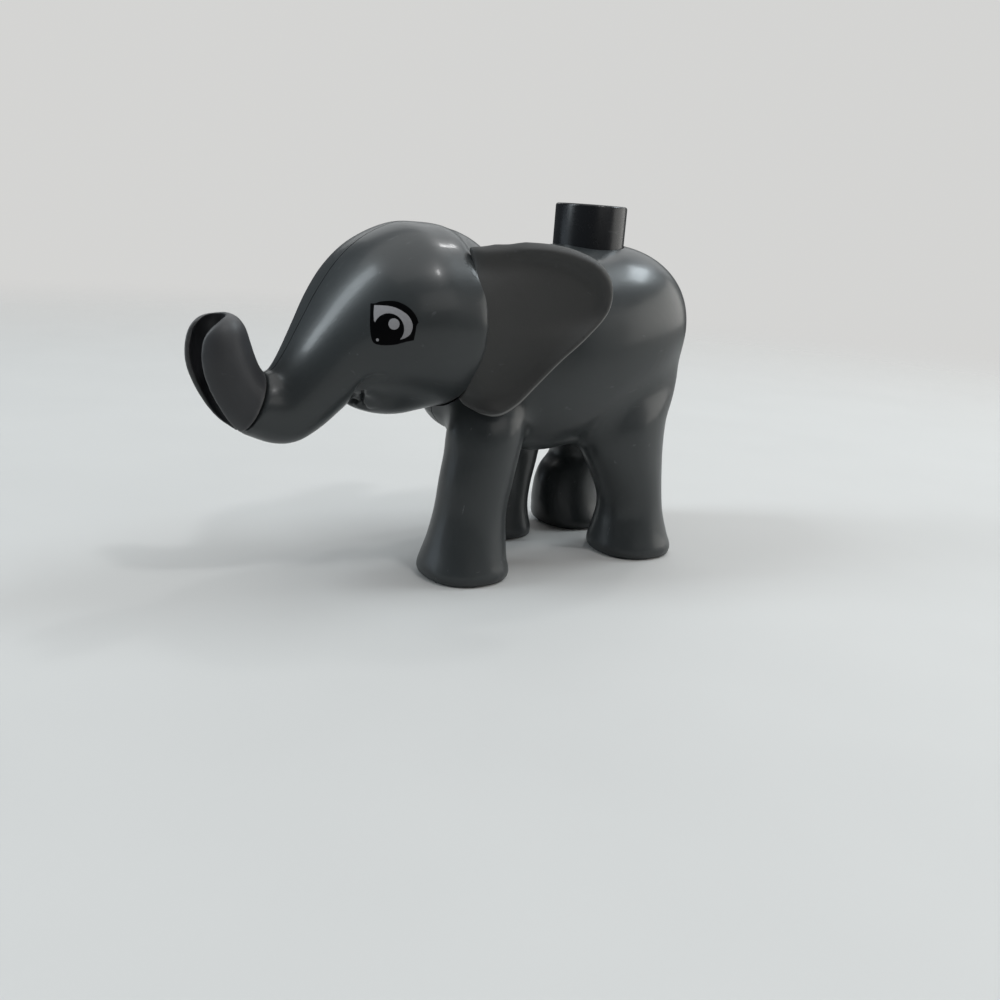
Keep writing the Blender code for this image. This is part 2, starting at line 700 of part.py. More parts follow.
def ear_peg_holes(side):
    wide = EAR_PEG_RADIUS + FIT
    profile = ((NECK_HALF_WIDTH + FIT, wide), (NAPE_HALF_WIDTH + OVERRUN, wide))
    holes = []
    for x, z in (head_point(*shares) for shares in EAR_PEG_SHARES):
        name = "ear_peg_hole_" + SIDE_NAMES[side]
        holes.append(cutter(turned(name, (x, 0, z), (0, side, 0), profile, PEG_COUNT)))
    return holes


def head_shell(side):
    name = "head_" + SIDE_NAMES[side] + "_shell"
    shell = add_piece(name, head_solid(name), HIDE_PLASTIC, head_nod)
    boss_radius = PIN_RADIUS + HINGE_BOSS
    start = NECK_HALF_WIDTH + FIT
    boss = ((start, boss_radius), (NAPE_HALF_WIDTH - WALL / 2, boss_radius))
    bore = ((start - OVERRUN, PIN_RADIUS + FIT), (PIN_LENGTH / 2 + FIT, PIN_RADIUS + FIT))
    centre, way = (HEAD_X, 0, HEAD_Z), (0, side, 0)
    join(shell, JAW)
    cut(shell, HEAD_HOLLOW, NECK_SLOT, PLUG_BORE, HALVING[side])
    join(shell, cutter(turned(name + "_hinge_boss", centre, way, boss)))
    cut(shell, cutter(turned(name + "_hinge_bore", centre, way, bore)))
    cut(shell, *ear_peg_holes(side))
    weld_pegs(shell, side, HEAD_PEGS, HEAD_CORE, HEAD_RADIUS)
    return shell


# Ears, soft plates whose barbed pegs press into the nape behind the step of the face
def ear_root_y(x_share, z_share):
    """How far out the middle of the ear's thickness lies where it meets the nape."""
    grown = FIT + EAR_THICKNESS / 2
    reach = HEAD_RADIUS * math.hypot(x_share, z_share) / (NAPE_RADIUS + grown)
    return (NAPE_HALF_WIDTH + grown) * math.sqrt(1 - reach**2)


def ear(side):
    name = SIDE_NAMES[side] + "_ear"
    roots = [
        (HEAD_X + HEAD_RADIUS * x, ear_root_y(x, z), HEAD_Z + HEAD_RADIUS * z)
        for x, z in EAR_ROOT_SHARES
    ]
    edges = [
        (HEAD_X + HEAD_RADIUS * x, HEAD_RADIUS * y, HEAD_Z + HEAD_RADIUS * z)
        for x, z, y in EAR_EDGE_SHARES
    ]
    lines = smooth_rows([np.concatenate(pair) for pair in zip(roots, edges)], 2)
    bm = bmesh.new()
    grid = []
    for row, line in enumerate(lines):
        root, edge = line[:3], line[3:]
        hollow = math.sin(math.pi * row / (len(lines) - 1))
        verts = []
        for blend in EAR_BLEND_SHARES:
            point = root + (edge - root) * blend
            point[1] -= EAR_DISH * hollow * math.sin(math.pi * blend)
            verts.append(bm.verts.new((point[0], side * point[1], point[2])))
        grid.append(verts)
    for upper, lower in zip(grid, grid[1:]):
        for i in range(len(upper) - 1):
            corners = (upper[i], upper[i + 1], lower[i + 1], lower[i])
            bm.faces.new(corners if side < 0 else corners[::-1])
    mesh = bpy.data.meshes.new(name)
    bm.to_mesh(mesh)
    bm.free()
    plate = add_piece(name, mesh, SOFT_PLASTIC, head_nod)
    thick = plate.modifiers.new("thickness", "SOLIDIFY")
    thick.thickness = EAR_THICKNESS
    thick.offset = 0
    for x, z in (head_point(*shares) for shares in EAR_PEG_SHARES):
        join(plate, cutter(ear_peg(side, x, z)))


def ear_peg(side, x, z):
    """A barbed peg that runs in from the ear through the wall of the nape."""
    away = math.hypot(x - HEAD_X, z - HEAD_Z)
    reach = (away + EAR_PEG_RADIUS + EAR_PEG_HEAD) / (NAPE_RADIUS - WALL)
    barb = (NAPE_HALF_WIDTH - WALL) * math.sqrt(1 - reach**2) - FIT
    ear_y = NAPE_HALF_WIDTH * math.sqrt(1 - (away / NAPE_RADIUS) ** 2) + FIT + EAR_THICKNESS
    profile = (
        (barb - EAR_PEG_HEAD_LENGTH, EAR_PEG_RADIUS),
        (barb - EAR_PEG_HEAD_LENGTH / 2, EAR_PEG_RADIUS + EAR_PEG_HEAD),
        (barb, EAR_PEG_RADIUS + EAR_PEG_HEAD),
        (barb, EAR_PEG_RADIUS),
        (ear_y, EAR_PEG_RADIUS),
    )
    return turned(SIDE_NAMES[side] + "_ear_peg", (x, 0, z), (0, side, 0), profile, PEG_COUNT)


# Trunk tip, a soft slotted clip whose plug snaps into the end of the trunk
def trunk_tip():
    rows = [
        (head_point(x1, z1), head_point(x2, z2), HEAD_RADIUS * width)
        for x1, z1, x2, z2, width in TIP_SHARES
    ]
    rings = [upright_ring(*row, RING_COUNT) for row in rows]
    ahead = TRUNK_WAY * SEAM_GAP / 2
    rings[0] = [(x + ahead[0], y, z + ahead[1]) for x, y, z in rings[0]]
    tip = add_piece("trunk_tip", lofted("trunk_tip", rings), SOFT_PLASTIC, head_nod)
    inner_line, outer_line = [], []
    for (upper, lower, width), share in zip(rows, SLOT_DEPTH_SHARES):
        length = np.linalg.norm(upper - lower)
        way = (lower - upper) / length
        depth = max(0.0, length - TIP_BACK) * share
        inner_line.append(lower - way * depth)
        outer_line.append(lower + way * OVERRUN)
    rings = []
    for inner, outer in zip(inner_line[1:], outer_line[1:]):
        half = SLOT_WIDTH / 2
        corners = ((inner, -half), (inner, half), (outer, half), (outer, -half))
        rings.append([(point[0], y, point[1]) for point, y in corners])
    rise = OVERRUN
    lean = OVERRUN * SLOT_LEAN_SHARE
    rings.append([(x + lean, y, z + rise) for x, y, z in rings[-1]])
    cut(tip, cutter(lofted("tip_slot", rings)))
    profile = (
        (-WALL, SPIGOT_RADIUS),
        (HEAD_START, SPIGOT_RADIUS),
        (HEAD_START, SPIGOT_RADIUS + SPIGOT_HEAD),
        (HEAD_START + SPIGOT_HEAD_LENGTH, SPIGOT_RADIUS),
    )
    join(tip, cutter(turned("tip_spigot", SEAM_CENTRE, PLUG_WAY, profile, LEG_COUNT)))


for side in SIDE_NAMES:
    body_shell(side)
    head_shell(side)
    ear(side)
back_stud()
neck_link()
neck_pin()
trunk_tip()
for piece in pieces.objects:
    if piece.type == "MESH":
        weld = piece.modifiers.new("weld_cuts", "WELD")
        weld.merge_threshold = WELD_REACH
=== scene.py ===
import math

import bmesh
import bpy
import numpy as np
from mathutils import Matrix, Vector
from mathutils.bvhtree import BVHTree


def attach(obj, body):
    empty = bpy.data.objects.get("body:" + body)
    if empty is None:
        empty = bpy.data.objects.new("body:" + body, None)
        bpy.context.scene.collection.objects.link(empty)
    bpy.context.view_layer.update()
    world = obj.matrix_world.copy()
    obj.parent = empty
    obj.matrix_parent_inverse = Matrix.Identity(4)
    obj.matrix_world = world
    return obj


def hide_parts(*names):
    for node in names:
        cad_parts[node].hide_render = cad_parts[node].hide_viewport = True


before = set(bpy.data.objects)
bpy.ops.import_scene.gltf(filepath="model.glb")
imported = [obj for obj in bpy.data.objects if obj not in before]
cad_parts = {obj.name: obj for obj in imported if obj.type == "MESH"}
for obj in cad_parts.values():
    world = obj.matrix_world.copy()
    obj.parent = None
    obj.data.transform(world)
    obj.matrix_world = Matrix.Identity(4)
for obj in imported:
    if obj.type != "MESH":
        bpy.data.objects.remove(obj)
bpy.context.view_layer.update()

# Body: two hollow half shells of hard satin plastic, each moulded with its own two legs and
# welded to the other along the mid plane. The legs flow into the barrel with wide fillets.
WALL, SEAM, LAP_DEPTH, LAP_LENGTH = 1.6, 0.16, 0.3, 0.6
BODY_LENGTH, BODY_HEIGHT, BODY_HALF_WIDTH = 38.0, 27.4, 12.3
BELLY, RUMP_X, FULLNESS = 14.0, 33.7, 2.25
BODY_TOP = BELLY + BODY_HEIGHT
FOOT, FOOT_FULLNESS, SOLE_EDGE, TRACK = 5.8, 2.35, 0.5, 7.1
SOLE_RECESS, SOLE_DEPTH = 4.0, 2.6
SKIN_CELL = 0.34
FILLET_REACH, FILLET_PASSES = 3.2, 110
BARREL = (
    (0.03, 0.588, 0.20, 0.41),
    (0.075, 0.796, 0.133, 0.59),
    (0.176, 0.916, 0.075, 0.775),
    (0.277, 0.945, 0.03, 0.91),
    (0.404, 0.967, 0.0, 0.985),
    (0.53, 0.985, 0.022, 1.0),
    (0.657, 1.0, 0.084, 0.98),
    (0.77, 0.99, 0.155, 0.92),
    (0.859, 0.953, 0.235, 0.82),
    (0.93, 0.89, 0.30, 0.68),
    (0.975, 0.81, 0.37, 0.50),
    (0.994, 0.715, 0.46, 0.29),
    (0.999, 0.62, 0.53, 0.09),
)
STANDING_LEG = (
    (0.02, -0.015, 0.96, 0.975, 1.0),
    (0.05, -0.015, 0.975, 0.99, 1.0),
    (0.10, -0.015, 0.925, 0.94, 1.0),
    (0.185, 0.03, 0.87, 0.87, 1.0),
    (0.34, 0.09, 0.785, 0.785, 1.0),
    (0.50, 0.19, 0.80, 0.79, 1.0),
    (0.635, 0.29, 0.81, 0.80, 1.0),
    (0.77, 0.40, 0.86, 0.82, 0.96),
    (0.88, 0.56, 0.86, 0.70, 0.91),
    (1.0, 0.70, 0.70, 0.44, 0.83),
)
STEPPING_LEG = (
    (0.02, -0.045, 0.93, 0.975, 1.0),
    (0.05, -0.045, 0.945, 0.99, 1.0),
    (0.10, -0.045, 0.895, 0.94, 1.0),
    (0.185, -0.02, 0.85, 0.87, 1.0),
    (0.31, 0.09, 0.82, 0.79, 1.0),
    (0.46, 0.105, 0.965, 0.79, 1.0),
    (0.58, -0.10, 1.21, 0.80, 1.0),
    (0.755, -0.66, 1.15, 0.84, 0.97),
    (0.88, -0.95, 1.12, 0.76, 0.93),
    (1.0, -1.05, 0.95, 0.50, 0.87),
)
REAR_LEFT_LEG = (
    (0.018, -0.015, 0.96, 0.975, 1.0),
    (0.043, -0.015, 0.975, 0.99, 1.0),
    (0.09, -0.04, 0.92, 0.92, 1.0),
    (0.14, -0.06, 0.87, 0.86, 1.0),
    (0.22, -0.09, 0.80, 0.79, 1.0),
    (0.30, -0.16, 0.81, 0.76, 1.0),
    (0.42, -0.35, 0.94, 0.77, 1.0),
    (0.535, -0.53, 1.10, 0.80, 0.98),
    (0.675, -0.57, 1.19, 0.83, 0.94),
    (0.785, -0.40, 1.26, 0.76, 0.90),
    (0.89, -0.23, 1.30, 0.60, 0.87),
    (1.0, -0.20, 1.08, 0.40, 0.84),
)
REAR_RIGHT_LEG = (
    (0.018, -0.02, 0.975, 0.975, 1.0),
    (0.043, -0.05, 0.99, 0.99, 1.0),
    (0.09, -0.15, 0.93, 0.92, 1.0),
    (0.14, -0.215, 0.915, 0.86, 1.0),
    (0.23, -0.235, 0.895, 0.79, 1.0),
    (0.31, -0.10, 0.90, 0.76, 1.0),
    (0.39, 0.13, 0.83, 0.77, 1.0),
    (0.535, 0.03, 0.97, 0.80, 0.98),
    (0.675, -0.15, 1.05, 0.83, 0.94),
    (0.785, -0.30, 1.18, 0.76, 0.90),
    (0.89, -0.35, 1.14, 0.60, 0.87),
    (1.0, -0.35, 0.90, 0.40, 0.84),
)
# Each leg: its sections, where its foot stands along X, its length and its side
LEGS = (
    (STANDING_LEG, -1.4, 24.5, -1),
    (REAR_LEFT_LEG, 26.0, 28.0, -1),
    (STEPPING_LEG, 12.2, 24.5, 1),
    (REAR_RIGHT_LEG, 26.6, 28.0, 1),
)
SIDES = {-1: "left", 1: "right"}


def carried(rows, steps):
    """Rows of numbers on a smooth curve through the given rows."""
    rows = np.array(rows, float)
    ends = np.vstack([2 * rows[0] - rows[1], rows, 2 * rows[-1] - rows[-2]])
    out = []
    for a, b, c, d in zip(ends, ends[1:], ends[2:], ends[3:]):
        for t in np.arange(steps) / steps:
            bend = (2 * a - 5 * b + 4 * c - d) * t**2 + (3 * b - a - 3 * c + d) * t**3
            out.append((2 * b + (c - a) * t + bend) / 2)
    out.append(rows[-1])
    return np.array(out)


def upright_ring(upper, lower, half_width, count, fullness=2.0):
    """A closed section that stands between two outline points of the mid plane."""
    upper, lower = np.array(upper, float), np.array(lower, float)
    turns = 2 * np.pi * (np.arange(count) + 0.5) / count
    up = np.sign(np.cos(turns)) * np.abs(np.cos(turns)) ** (2 / fullness)
    out = np.sign(np.sin(turns)) * np.abs(np.sin(turns)) ** (2 / fullness)
    line = (upper + lower) / 2 + (upper - lower) / 2 * up[:, None]
    return np.column_stack([line[:, 0], half_width * out, line[:, 1]])


def level_ring(x, y, z, half_length, half_width, count, fullness=2.0):
    """A horizontal section, round or somewhat square."""
    turns = 2 * np.pi * (np.arange(count) + 0.5) / count
    along = np.sign(np.cos(turns)) * np.abs(np.cos(turns)) ** (2 / fullness)
    out = np.sign(np.sin(turns)) * np.abs(np.sin(turns)) ** (2 / fullness)
    return np.column_stack([x + half_length * along, y + half_width * out, np.full(count, z)])


def skinned(rings):
    """A closed mesh over rings of equal count, with both ends closed."""
    bm = bmesh.new()
    loops = [[bm.verts.new(point) for point in ring] for ring in rings]
    for near, far in zip(loops, loops[1:]):
        for i, vert in enumerate(near):
            after = (i + 1) % len(near)
            bm.faces.new((vert, near[after], far[after], far[i]))
    bm.faces.new(loops[0])
    bm.faces.new(loops[-1])
    bmesh.ops.recalc_face_normals(bm, faces=bm.faces)
    mesh = bpy.data.meshes.new("skin")
    bm.to_mesh(mesh)
    bm.free()
    return mesh


def block(low, high):
    """A box between two corners."""
    low, high = np.array(low, float), np.array(high, float)
    corners = [(x, y) for x, y in ((0, 0), (1, 0), (1, 1), (0, 1))]
    rings = []
    for z in (low[2], high[2]):
        rings.append([(low[0] if not x else high[0], low[1] if not y else high[1], z)
                      for x, y in corners])
    return skinned(rings)


def turned(place, axis, profile, count=64):
    """A solid turned about an axis from (distance along it, radius) pairs."""
    axis = Vector(axis).normalized()
    frame_turn = axis.to_track_quat("Z", "Y").to_matrix()
    rings = []
    for distance, radius in profile:
        ring = level_ring(0, 0, distance, radius, radius, count)
        rings.append([frame_turn @ Vector(point) + Vector(place) for point in ring])
    return skinned(rings)


def placed(name, data):
    """A new object in the scene."""
    made = bpy.data.objects.new(name, data)
    bpy.context.scene.collection.objects.link(made)
    return made


def shaped(mesh, steps):
    """The mesh after a list of steps: a Boolean's name and a mesh, or "REMESH" and a cell."""
    helpers = []
    work = placed("work", mesh)
    for kind, value in steps:
        if kind == "REMESH":
            step = work.modifiers.new(kind, kind)
            step.mode = "VOXEL"
            step.voxel_size = value
            continue
        other = placed("other", value)
        helpers.append(other)
        step = work.modifiers.new(kind, "BOOLEAN")
        step.operation = kind
        step.solver = "EXACT"
        step.object = other
    bpy.context.view_layer.update()
    graph = bpy.context.evaluated_depsgraph_get()
    made = bpy.data.meshes.new_from_object(work.evaluated_get(graph))
    for thing in [work, *helpers]:
        bpy.data.objects.remove(thing)
    return made


def points_of(mesh):
    flat = np.empty(len(mesh.vertices) * 3)
    mesh.vertices.foreach_get("co", flat)
    return flat.reshape(-1, 3)


def normals_of(mesh):
    flat = np.empty(len(mesh.vertices) * 3)
    mesh.vertices.foreach_get("normal", flat)
    return flat.reshape(-1, 3)


def put_points(mesh, points):
    mesh.vertices.foreach_set("co", np.ascontiguousarray(points, float).ravel())
    mesh.update()


def relaxed(mesh, weight, passes):
    """Each point drawn towards the middle of its neighbours, as far as its weight says."""
    points = points_of(mesh)
    ends = np.empty(len(mesh.edges) * 2, int)
    mesh.edges.foreach_get("vertices", ends)
    a, b = ends.reshape(-1, 2).T
    here, there = np.r_[a, b], np.r_[b, a]
    degree = np.maximum(np.bincount(here, minlength=len(points)), 1)
    share = (0.5 * weight * np.ones(len(points)))[:, None]
    for _ in range(passes):
        sums = [np.bincount(here, points[there, k], len(points)) for k in range(3)]
        points += share * (np.column_stack(sums) / degree[:, None] - points)
    put_points(mesh, points)


def tree_of(mesh):
    return BVHTree.FromPolygons([v.co for v in mesh.vertices], [p.vertices for p in mesh.polygons])


def joint_weight(mesh, forms, reach):
    """1 where two of the forms meet on the mesh's surface, falling to 0 at reach from there."""
    trees = [tree_of(form) for form in forms]
    away = np.array([
        sorted(tree.find_nearest(v.co)[3] for tree in trees)[1] for v in mesh.vertices
    ])
    near = np.clip(1 - away / reach, 0, 1)
    return near * near * (3 - 2 * near)


def joined(meshes):
    """Several meshes as one, still as separate islands."""
    bm = bmesh.new()
    for mesh in meshes:
        bm.from_mesh(mesh)
    made = bpy.data.meshes.new("joined")
    bm.to_mesh(made)
    bm.free()
    return made


def barrel_rings(inset, count, steps):
    middle_x = RUMP_X - BODY_LENGTH / 2
    rings = []
    for along, top, bottom, width in carried(BARREL, steps):
        x = middle_x + (BODY_LENGTH - 2 * inset) * (along - 0.5)
        upper = BELLY + BODY_HEIGHT * top - inset
        lower = BELLY + BODY_HEIGHT * bottom + inset
        half_width = BODY_HALF_WIDTH * width - inset
        if half_width > inset / 2 and upper > lower:
            rings.append(upright_ring((x, upper), (x, lower), half_width, count, FULLNESS))
    return rings


def leg_skin(sections, foot_x, length, side):
    edge = FOOT - SOLE_EDGE
    rings = [level_ring(foot_x, side * TRACK, 0, edge, edge, 56, FOOT_FULLNESS)]
    for height, ahead, long, wide, out in carried(sections, 5):
        x, y = foot_x + FOOT * ahead, side * TRACK * out
        fullness = 2 + (FOOT_FULLNESS - 2) * max(0, 1 - height / 0.2)
        rings.append(level_ring(x, y, length * height, FOOT * long, FOOT * wide, 56, fullness))
    return skinned(rings)


# The ball of the head's nape, which sits in the body's socket
HEAD_R, HEAD_X, HEAD_Z = 11.1, -4.9, 31.4
NAPE_R, NAPE_HALF_WIDTH = HEAD_R * 0.98, HEAD_R * 0.95
SOCKET_GAP = 0.3


def nape_rings(extra, count, bands, front_x):
    """Sections of the ball, grown by extra, from its back pole to front_x from its centre."""
    radius, half_width = NAPE_R + extra, NAPE_HALF_WIDTH + extra
    last = math.acos(front_x / radius)
    rings = []
    for band in range(bands):
        turn = last * (band + 1) / bands
        x, reach = HEAD_X + radius * math.cos(turn), radius * math.sin(turn)
        rings.append(upright_ring((x, HEAD_Z + reach), (x, HEAD_Z - reach),
                                  half_width * math.sin(turn), count))
    return rings


def socket_ball(extra):
    return skinned(nape_rings(extra, 96, 48, -0.97 * (NAPE_R + extra)))


def half_block(side, seam):
    """Covers all that isn't on the given side."""
    far = 90
    if side < 0:
        return block((-far, -seam / 2, -far), (far, far, far))
    return block((-far, -far, -far), (far, seam / 2, far))


def lap(form, side, depth):
    """The lip inside one half, which closes the seam under its groove."""
    inner = form.copy()
    put_points(inner, points_of(inner) - depth * normals_of(inner))
    low, high = sorted((side * 0.01, side * LAP_LENGTH))
    return shaped(inner, [("INTERSECT", block((-90, low, -90), (90, high, 90)))])


def metres(mesh):
    mesh.transform(Matrix.Scale(0.001, 4))
    return mesh


def dressed(name, mesh, material, body, slot, *nodes):
    """A finished piece in metres, which rides on a body and stands for CAD nodes."""
    mesh.name = name
    mesh.materials.clear()
    mesh.materials.append(material)
    piece = placed(name, metres(mesh))
    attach(piece, body)
    if nodes:
        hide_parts(*nodes)
    return piece


def smooth_shaded(mesh, sharp_degrees=35):
    """Smooth shading that keeps edges sharper than the given angle."""
    mesh.polygons.foreach_set("use_smooth", [True] * len(mesh.polygons))
    mesh.set_sharp_from_angle(angle=math.radians(sharp_degrees))
    return mesh


class Shade:
    """A socket in a material's tree, so that shader maths is written as plain maths."""

    def __init__(self, tree, socket=None):
        self.tree = tree
        self.socket = socket

    def node(self, kind, settings=None, values=None, out=0):
        made = self.tree.nodes.new(kind)
        for name, value in (settings or {}).items():
            if name == "stops":
                ramp = made.color_ramp
                while len(ramp.elements) < len(value):
                    ramp.elements.new(0.5)
                for element, (place, colour) in zip(ramp.elements, value):
                    element.position = place
                    element.color = colour
            else:
                setattr(made, name, value)
        for name, value in (values or {}).items():
            if isinstance(value, Shade):
                self.tree.links.new(value.socket, made.inputs[name])
            else:
                made.inputs[name].default_value = value
        return Shade(self.tree, made.outputs[out])

    def feeds(self, node, name):
        self.tree.links.new(self.socket, node.inputs[name])

    def noise(self, scale, detail, roughness):
        return self.node("ShaderNodeTexNoise", None,
                         {"Vector": self, "Scale": scale, "Detail": detail,
                          "Roughness": roughness})

    def blended(self, first, second):
        """One colour turning into another as this value goes from 0 to 1."""
        return self.node("ShaderNodeMix", {"data_type": "RGBA"},
                         {"Factor": self, 6: first, 7: second}, 2)

    def over(self, low, high):
        """0 up to a low level of this value and 1 above a high one."""
        none, full = (0, 0, 0, 1), (1, 1, 1, 1)
        return self.node("ShaderNodeValToRGB",
                         {"stops": ((0.0, none), (low, none), (high, full))}, {"Fac": self})

    def maths(self, operation, first, second):
        return self.node("ShaderNodeMath", {"operation": operation}, {0: first, 1: second})

    def __add__(self, other):
        return self.maths("ADD", self, other)

    __radd__ = __add__

    def __mul__(self, other):
        return self.maths("MULTIPLY", self, other)

    __rmul__ = __mul__

    def __sub__(self, other):
        return self.maths("SUBTRACT", self, other)

    def __rsub__(self, other):
        return self.maths("SUBTRACT", other, self)


# The scratch colour is real wear; the second colour is a painted highlight for rims and edges
SCRATCH_COLOUR, EDGE_HIGHLIGHT_COLOUR = (0.30, 0.31, 0.32, 1), (0.24, 0.24, 0.235, 1)
PORE_DEPTH, POLISH_ROUGHNESS = 0.00005, 0.14


def plastic(name, colour, roughness, mottle, grain, scratches, specular=0.5, edge=0.0,
            polish=0.0):
    """A moulded plastic: cloudy colour, fine grain, handling scratches, and a painted highlight along
    its edges.
    """
    made = bpy.data.materials.new(name)
    made.use_nodes = True
    tree = made.node_tree
    shader = tree.nodes["Principled BSDF"]
    start = Shade(tree)
    place = start.node("ShaderNodeTexCoord", out=3)
    clouds = place.noise(90.0, 4.0, 0.55)
    pores = place.noise(5200.0, 2.0, 0.6)
    handled = place.noise(330.0, 5.0, 0.65)
    drawn = start.node("ShaderNodeMapping", None,
                       {"Vector": place, "Rotation": (0.5, 0.7, 0.3),
                        "Scale": (160.0, 2600.0, 900.0)})
    marks = drawn.noise(1.0, 1.0, 0.4).over(0.69, 0.73) * handled.over(0.52, 0.66) * scratches
    deep = tuple(c * (1 - mottle) for c in colour) + (1,)
    light = tuple(c * (1 + mottle) for c in colour) + (1,)
    worn = marks.blended(clouds.blended(deep, light), SCRATCH_COLOUR)
    # Points marked in the 'edge' attribute are painted paler: a painted highlight along rims
    painted_edge_highlight = start.node("ShaderNodeAttribute", {"attribute_name": "edge"}, None, 2) * edge
    painted_edge_highlight.blended(worn, EDGE_HIGHLIGHT_COLOUR).feeds(shader, "Base Color")
    rough = roughness + (handled - 0.5) * 0.14 + marks * 0.2
    rough.feeds(shader, "Roughness")
    bump = start.node("ShaderNodeBump", None,
                      {"Strength": grain, "Distance": PORE_DEPTH, "Height": pores})
    bump.feeds(shader, "Normal")
    shader.inputs["Specular IOR Level"].default_value = specular
    shader.inputs["Coat Weight"].default_value = polish
    shader.inputs["Coat Roughness"].default_value = POLISH_ROUGHNESS
    return made


HIDE_COLOUR = (0.037, 0.042, 0.044)
hide = plastic("hide_plastic", HIDE_COLOUR, 0.36, 0.10, 0.08, 0.22, polish=0.2)

barrel_form = skinned(barrel_rings(0, 84, 6))
leg_forms = [leg_skin(*leg) for leg in LEGS]
body_form = shaped(joined([barrel_form, *leg_forms]), [("REMESH", SKIN_CELL)])
relaxed(body_form, joint_weight(body_form, [barrel_form, *leg_forms], FILLET_REACH),
        FILLET_PASSES)
relaxed(body_form, 1.0, 4)
body_hollow = shaped(skinned(barrel_rings(WALL, 40, 2)),
                     [("DIFFERENCE", socket_ball(SOCKET_GAP + WALL))])
LINK_HALF_WIDTH, LINK_HALF_HEIGHT, LINK_END = 2.9, 2.7, 9.6
NECK_ROOM = block((HEAD_X, -LINK_HALF_WIDTH, HEAD_Z - LINK_HALF_HEIGHT),
                  (LINK_END, LINK_HALF_WIDTH, HEAD_Z + LINK_HALF_HEIGHT))
STUD_X, STUD_R, STUD_TOP = 19.5, 4.7, BODY_TOP + 4.7
STUD_FIT = 0.12
STUD_HOLE = turned((STUD_X, 0, 0), (0, 0, 1),
                   ((BODY_TOP - 3.5, STUD_R + STUD_FIT), (60, STUD_R + STUD_FIT)))
for side, side_name in SIDES.items():
    cuts = [
        ("DIFFERENCE", half_block(side, SEAM)),
        ("UNION", lap(body_form, side, LAP_DEPTH)),
        ("DIFFERENCE", socket_ball(SOCKET_GAP)),
        ("DIFFERENCE", body_hollow),
        ("DIFFERENCE", NECK_ROOM),
        ("DIFFERENCE", STUD_HOLE),
    ]
    for _, foot_x, _, leg_side in LEGS:
        if leg_side == side:
            cuts.append(("DIFFERENCE", turned((foot_x, side * TRACK, 0), (0, 0, 1),
                                              ((-3, SOLE_RECESS), (SOLE_DEPTH, SOLE_RECESS)))))
    shell = smooth_shaded(shaped(body_form.copy(), cuts))
    name = "body_" + side_name + "_shell"
    dressed(name + "_hide", shell, hide, "torso", "hide", name)

# Stud on the back: one round moulding of the same plastic, darker and glossier,
# pushed up through the back from inside and held by its flange. Its top is bare.
stud_plastic = plastic("stud_plastic", (0.014, 0.015, 0.017), 0.27, 0.06, 0.05, 0.12, 0.4)


def turning_tree():
    """Nodes that turn a profile line, whose points carry a radius, into a closed solid."""
    tree = bpy.data.node_groups.new("turned_piece", "GeometryNodeTree")
    face = tree.interface
    face.new_socket("Profile", in_out="INPUT", socket_type="NodeSocketGeometry")
    sides = face.new_socket("Sides", in_out="INPUT", socket_type="NodeSocketInt")
    finish = face.new_socket("Finish", in_out="INPUT", socket_type="NodeSocketMaterial")
    face.new_socket("Piece", in_out="OUTPUT", socket_type="NodeSocketGeometry")
    new, link = tree.nodes.new, tree.links.new
    start, end = new("NodeGroupInput"), new("NodeGroupOutput")
    line, radius = new("GeometryNodeMeshToCurve"), new("GeometryNodeInputNamedAttribute")
    radius.data_type = "FLOAT"
    radius.inputs["Name"].default_value = "radius_mm"
    sized, circle = new("GeometryNodeSetCurveRadius"), new("GeometryNodeCurvePrimitiveCircle")
    sweep, real = new("GeometryNodeCurveToMesh"), new("GeometryNodeRealizeInstances")
    paint = new("GeometryNodeSetMaterial")
    link(start.outputs["Profile"], line.inputs["Mesh"])
    link(line.outputs["Curve"], sized.inputs["Curve"])
    link(radius.outputs["Attribute"], sized.inputs["Radius"])
    link(start.outputs["Sides"], circle.inputs["Resolution"])
    circle.inputs["Radius"].default_value = 1.0
    link(sized.outputs["Curve"], sweep.inputs["Curve"])
    link(circle.outputs["Curve"], sweep.inputs["Profile Curve"])
    sweep.inputs["Fill Caps"].default_value = True
    if "Scale" in sweep.inputs:
        link(radius.outputs["Attribute"], sweep.inputs["Scale"])
    link(sweep.outputs["Mesh"], real.inputs["Geometry"])
    link(real.outputs["Geometry"], paint.inputs["Geometry"])
    link(start.outputs["Finish"], paint.inputs["Material"])
    link(paint.outputs["Geometry"], end.inputs["Piece"])
    return tree, sides.identifier, finish.identifier


def turned_piece(place, profile, sides, material):
    """A mesh from the turning tree, standing on place with its axis along Z."""
    tree, sides_id, finish_id = turning_tree()
    mesh = bpy.data.meshes.new("profile")
    spots = [(place[0], place[1], place[2] + height) for height, _ in profile]
    mesh.from_pydata(spots, [(i, i + 1) for i in range(len(spots) - 1)], [])
    widths = mesh.attributes.new("radius_mm", "FLOAT", "POINT")
    widths.data.foreach_set("value", [radius for _, radius in profile])
    holder = placed("profile", mesh)
    step = holder.modifiers.new("turned", "NODES")
    step.node_group = tree
    step[sides_id] = sides
    step[finish_id] = material
    bpy.context.view_layer.update()
    graph = bpy.context.evaluated_depsgraph_get()
    made = bpy.data.meshes.new_from_object(holder.evaluated_get(graph))
    holder.modifiers.clear()
    bpy.data.objects.remove(holder)
    return made


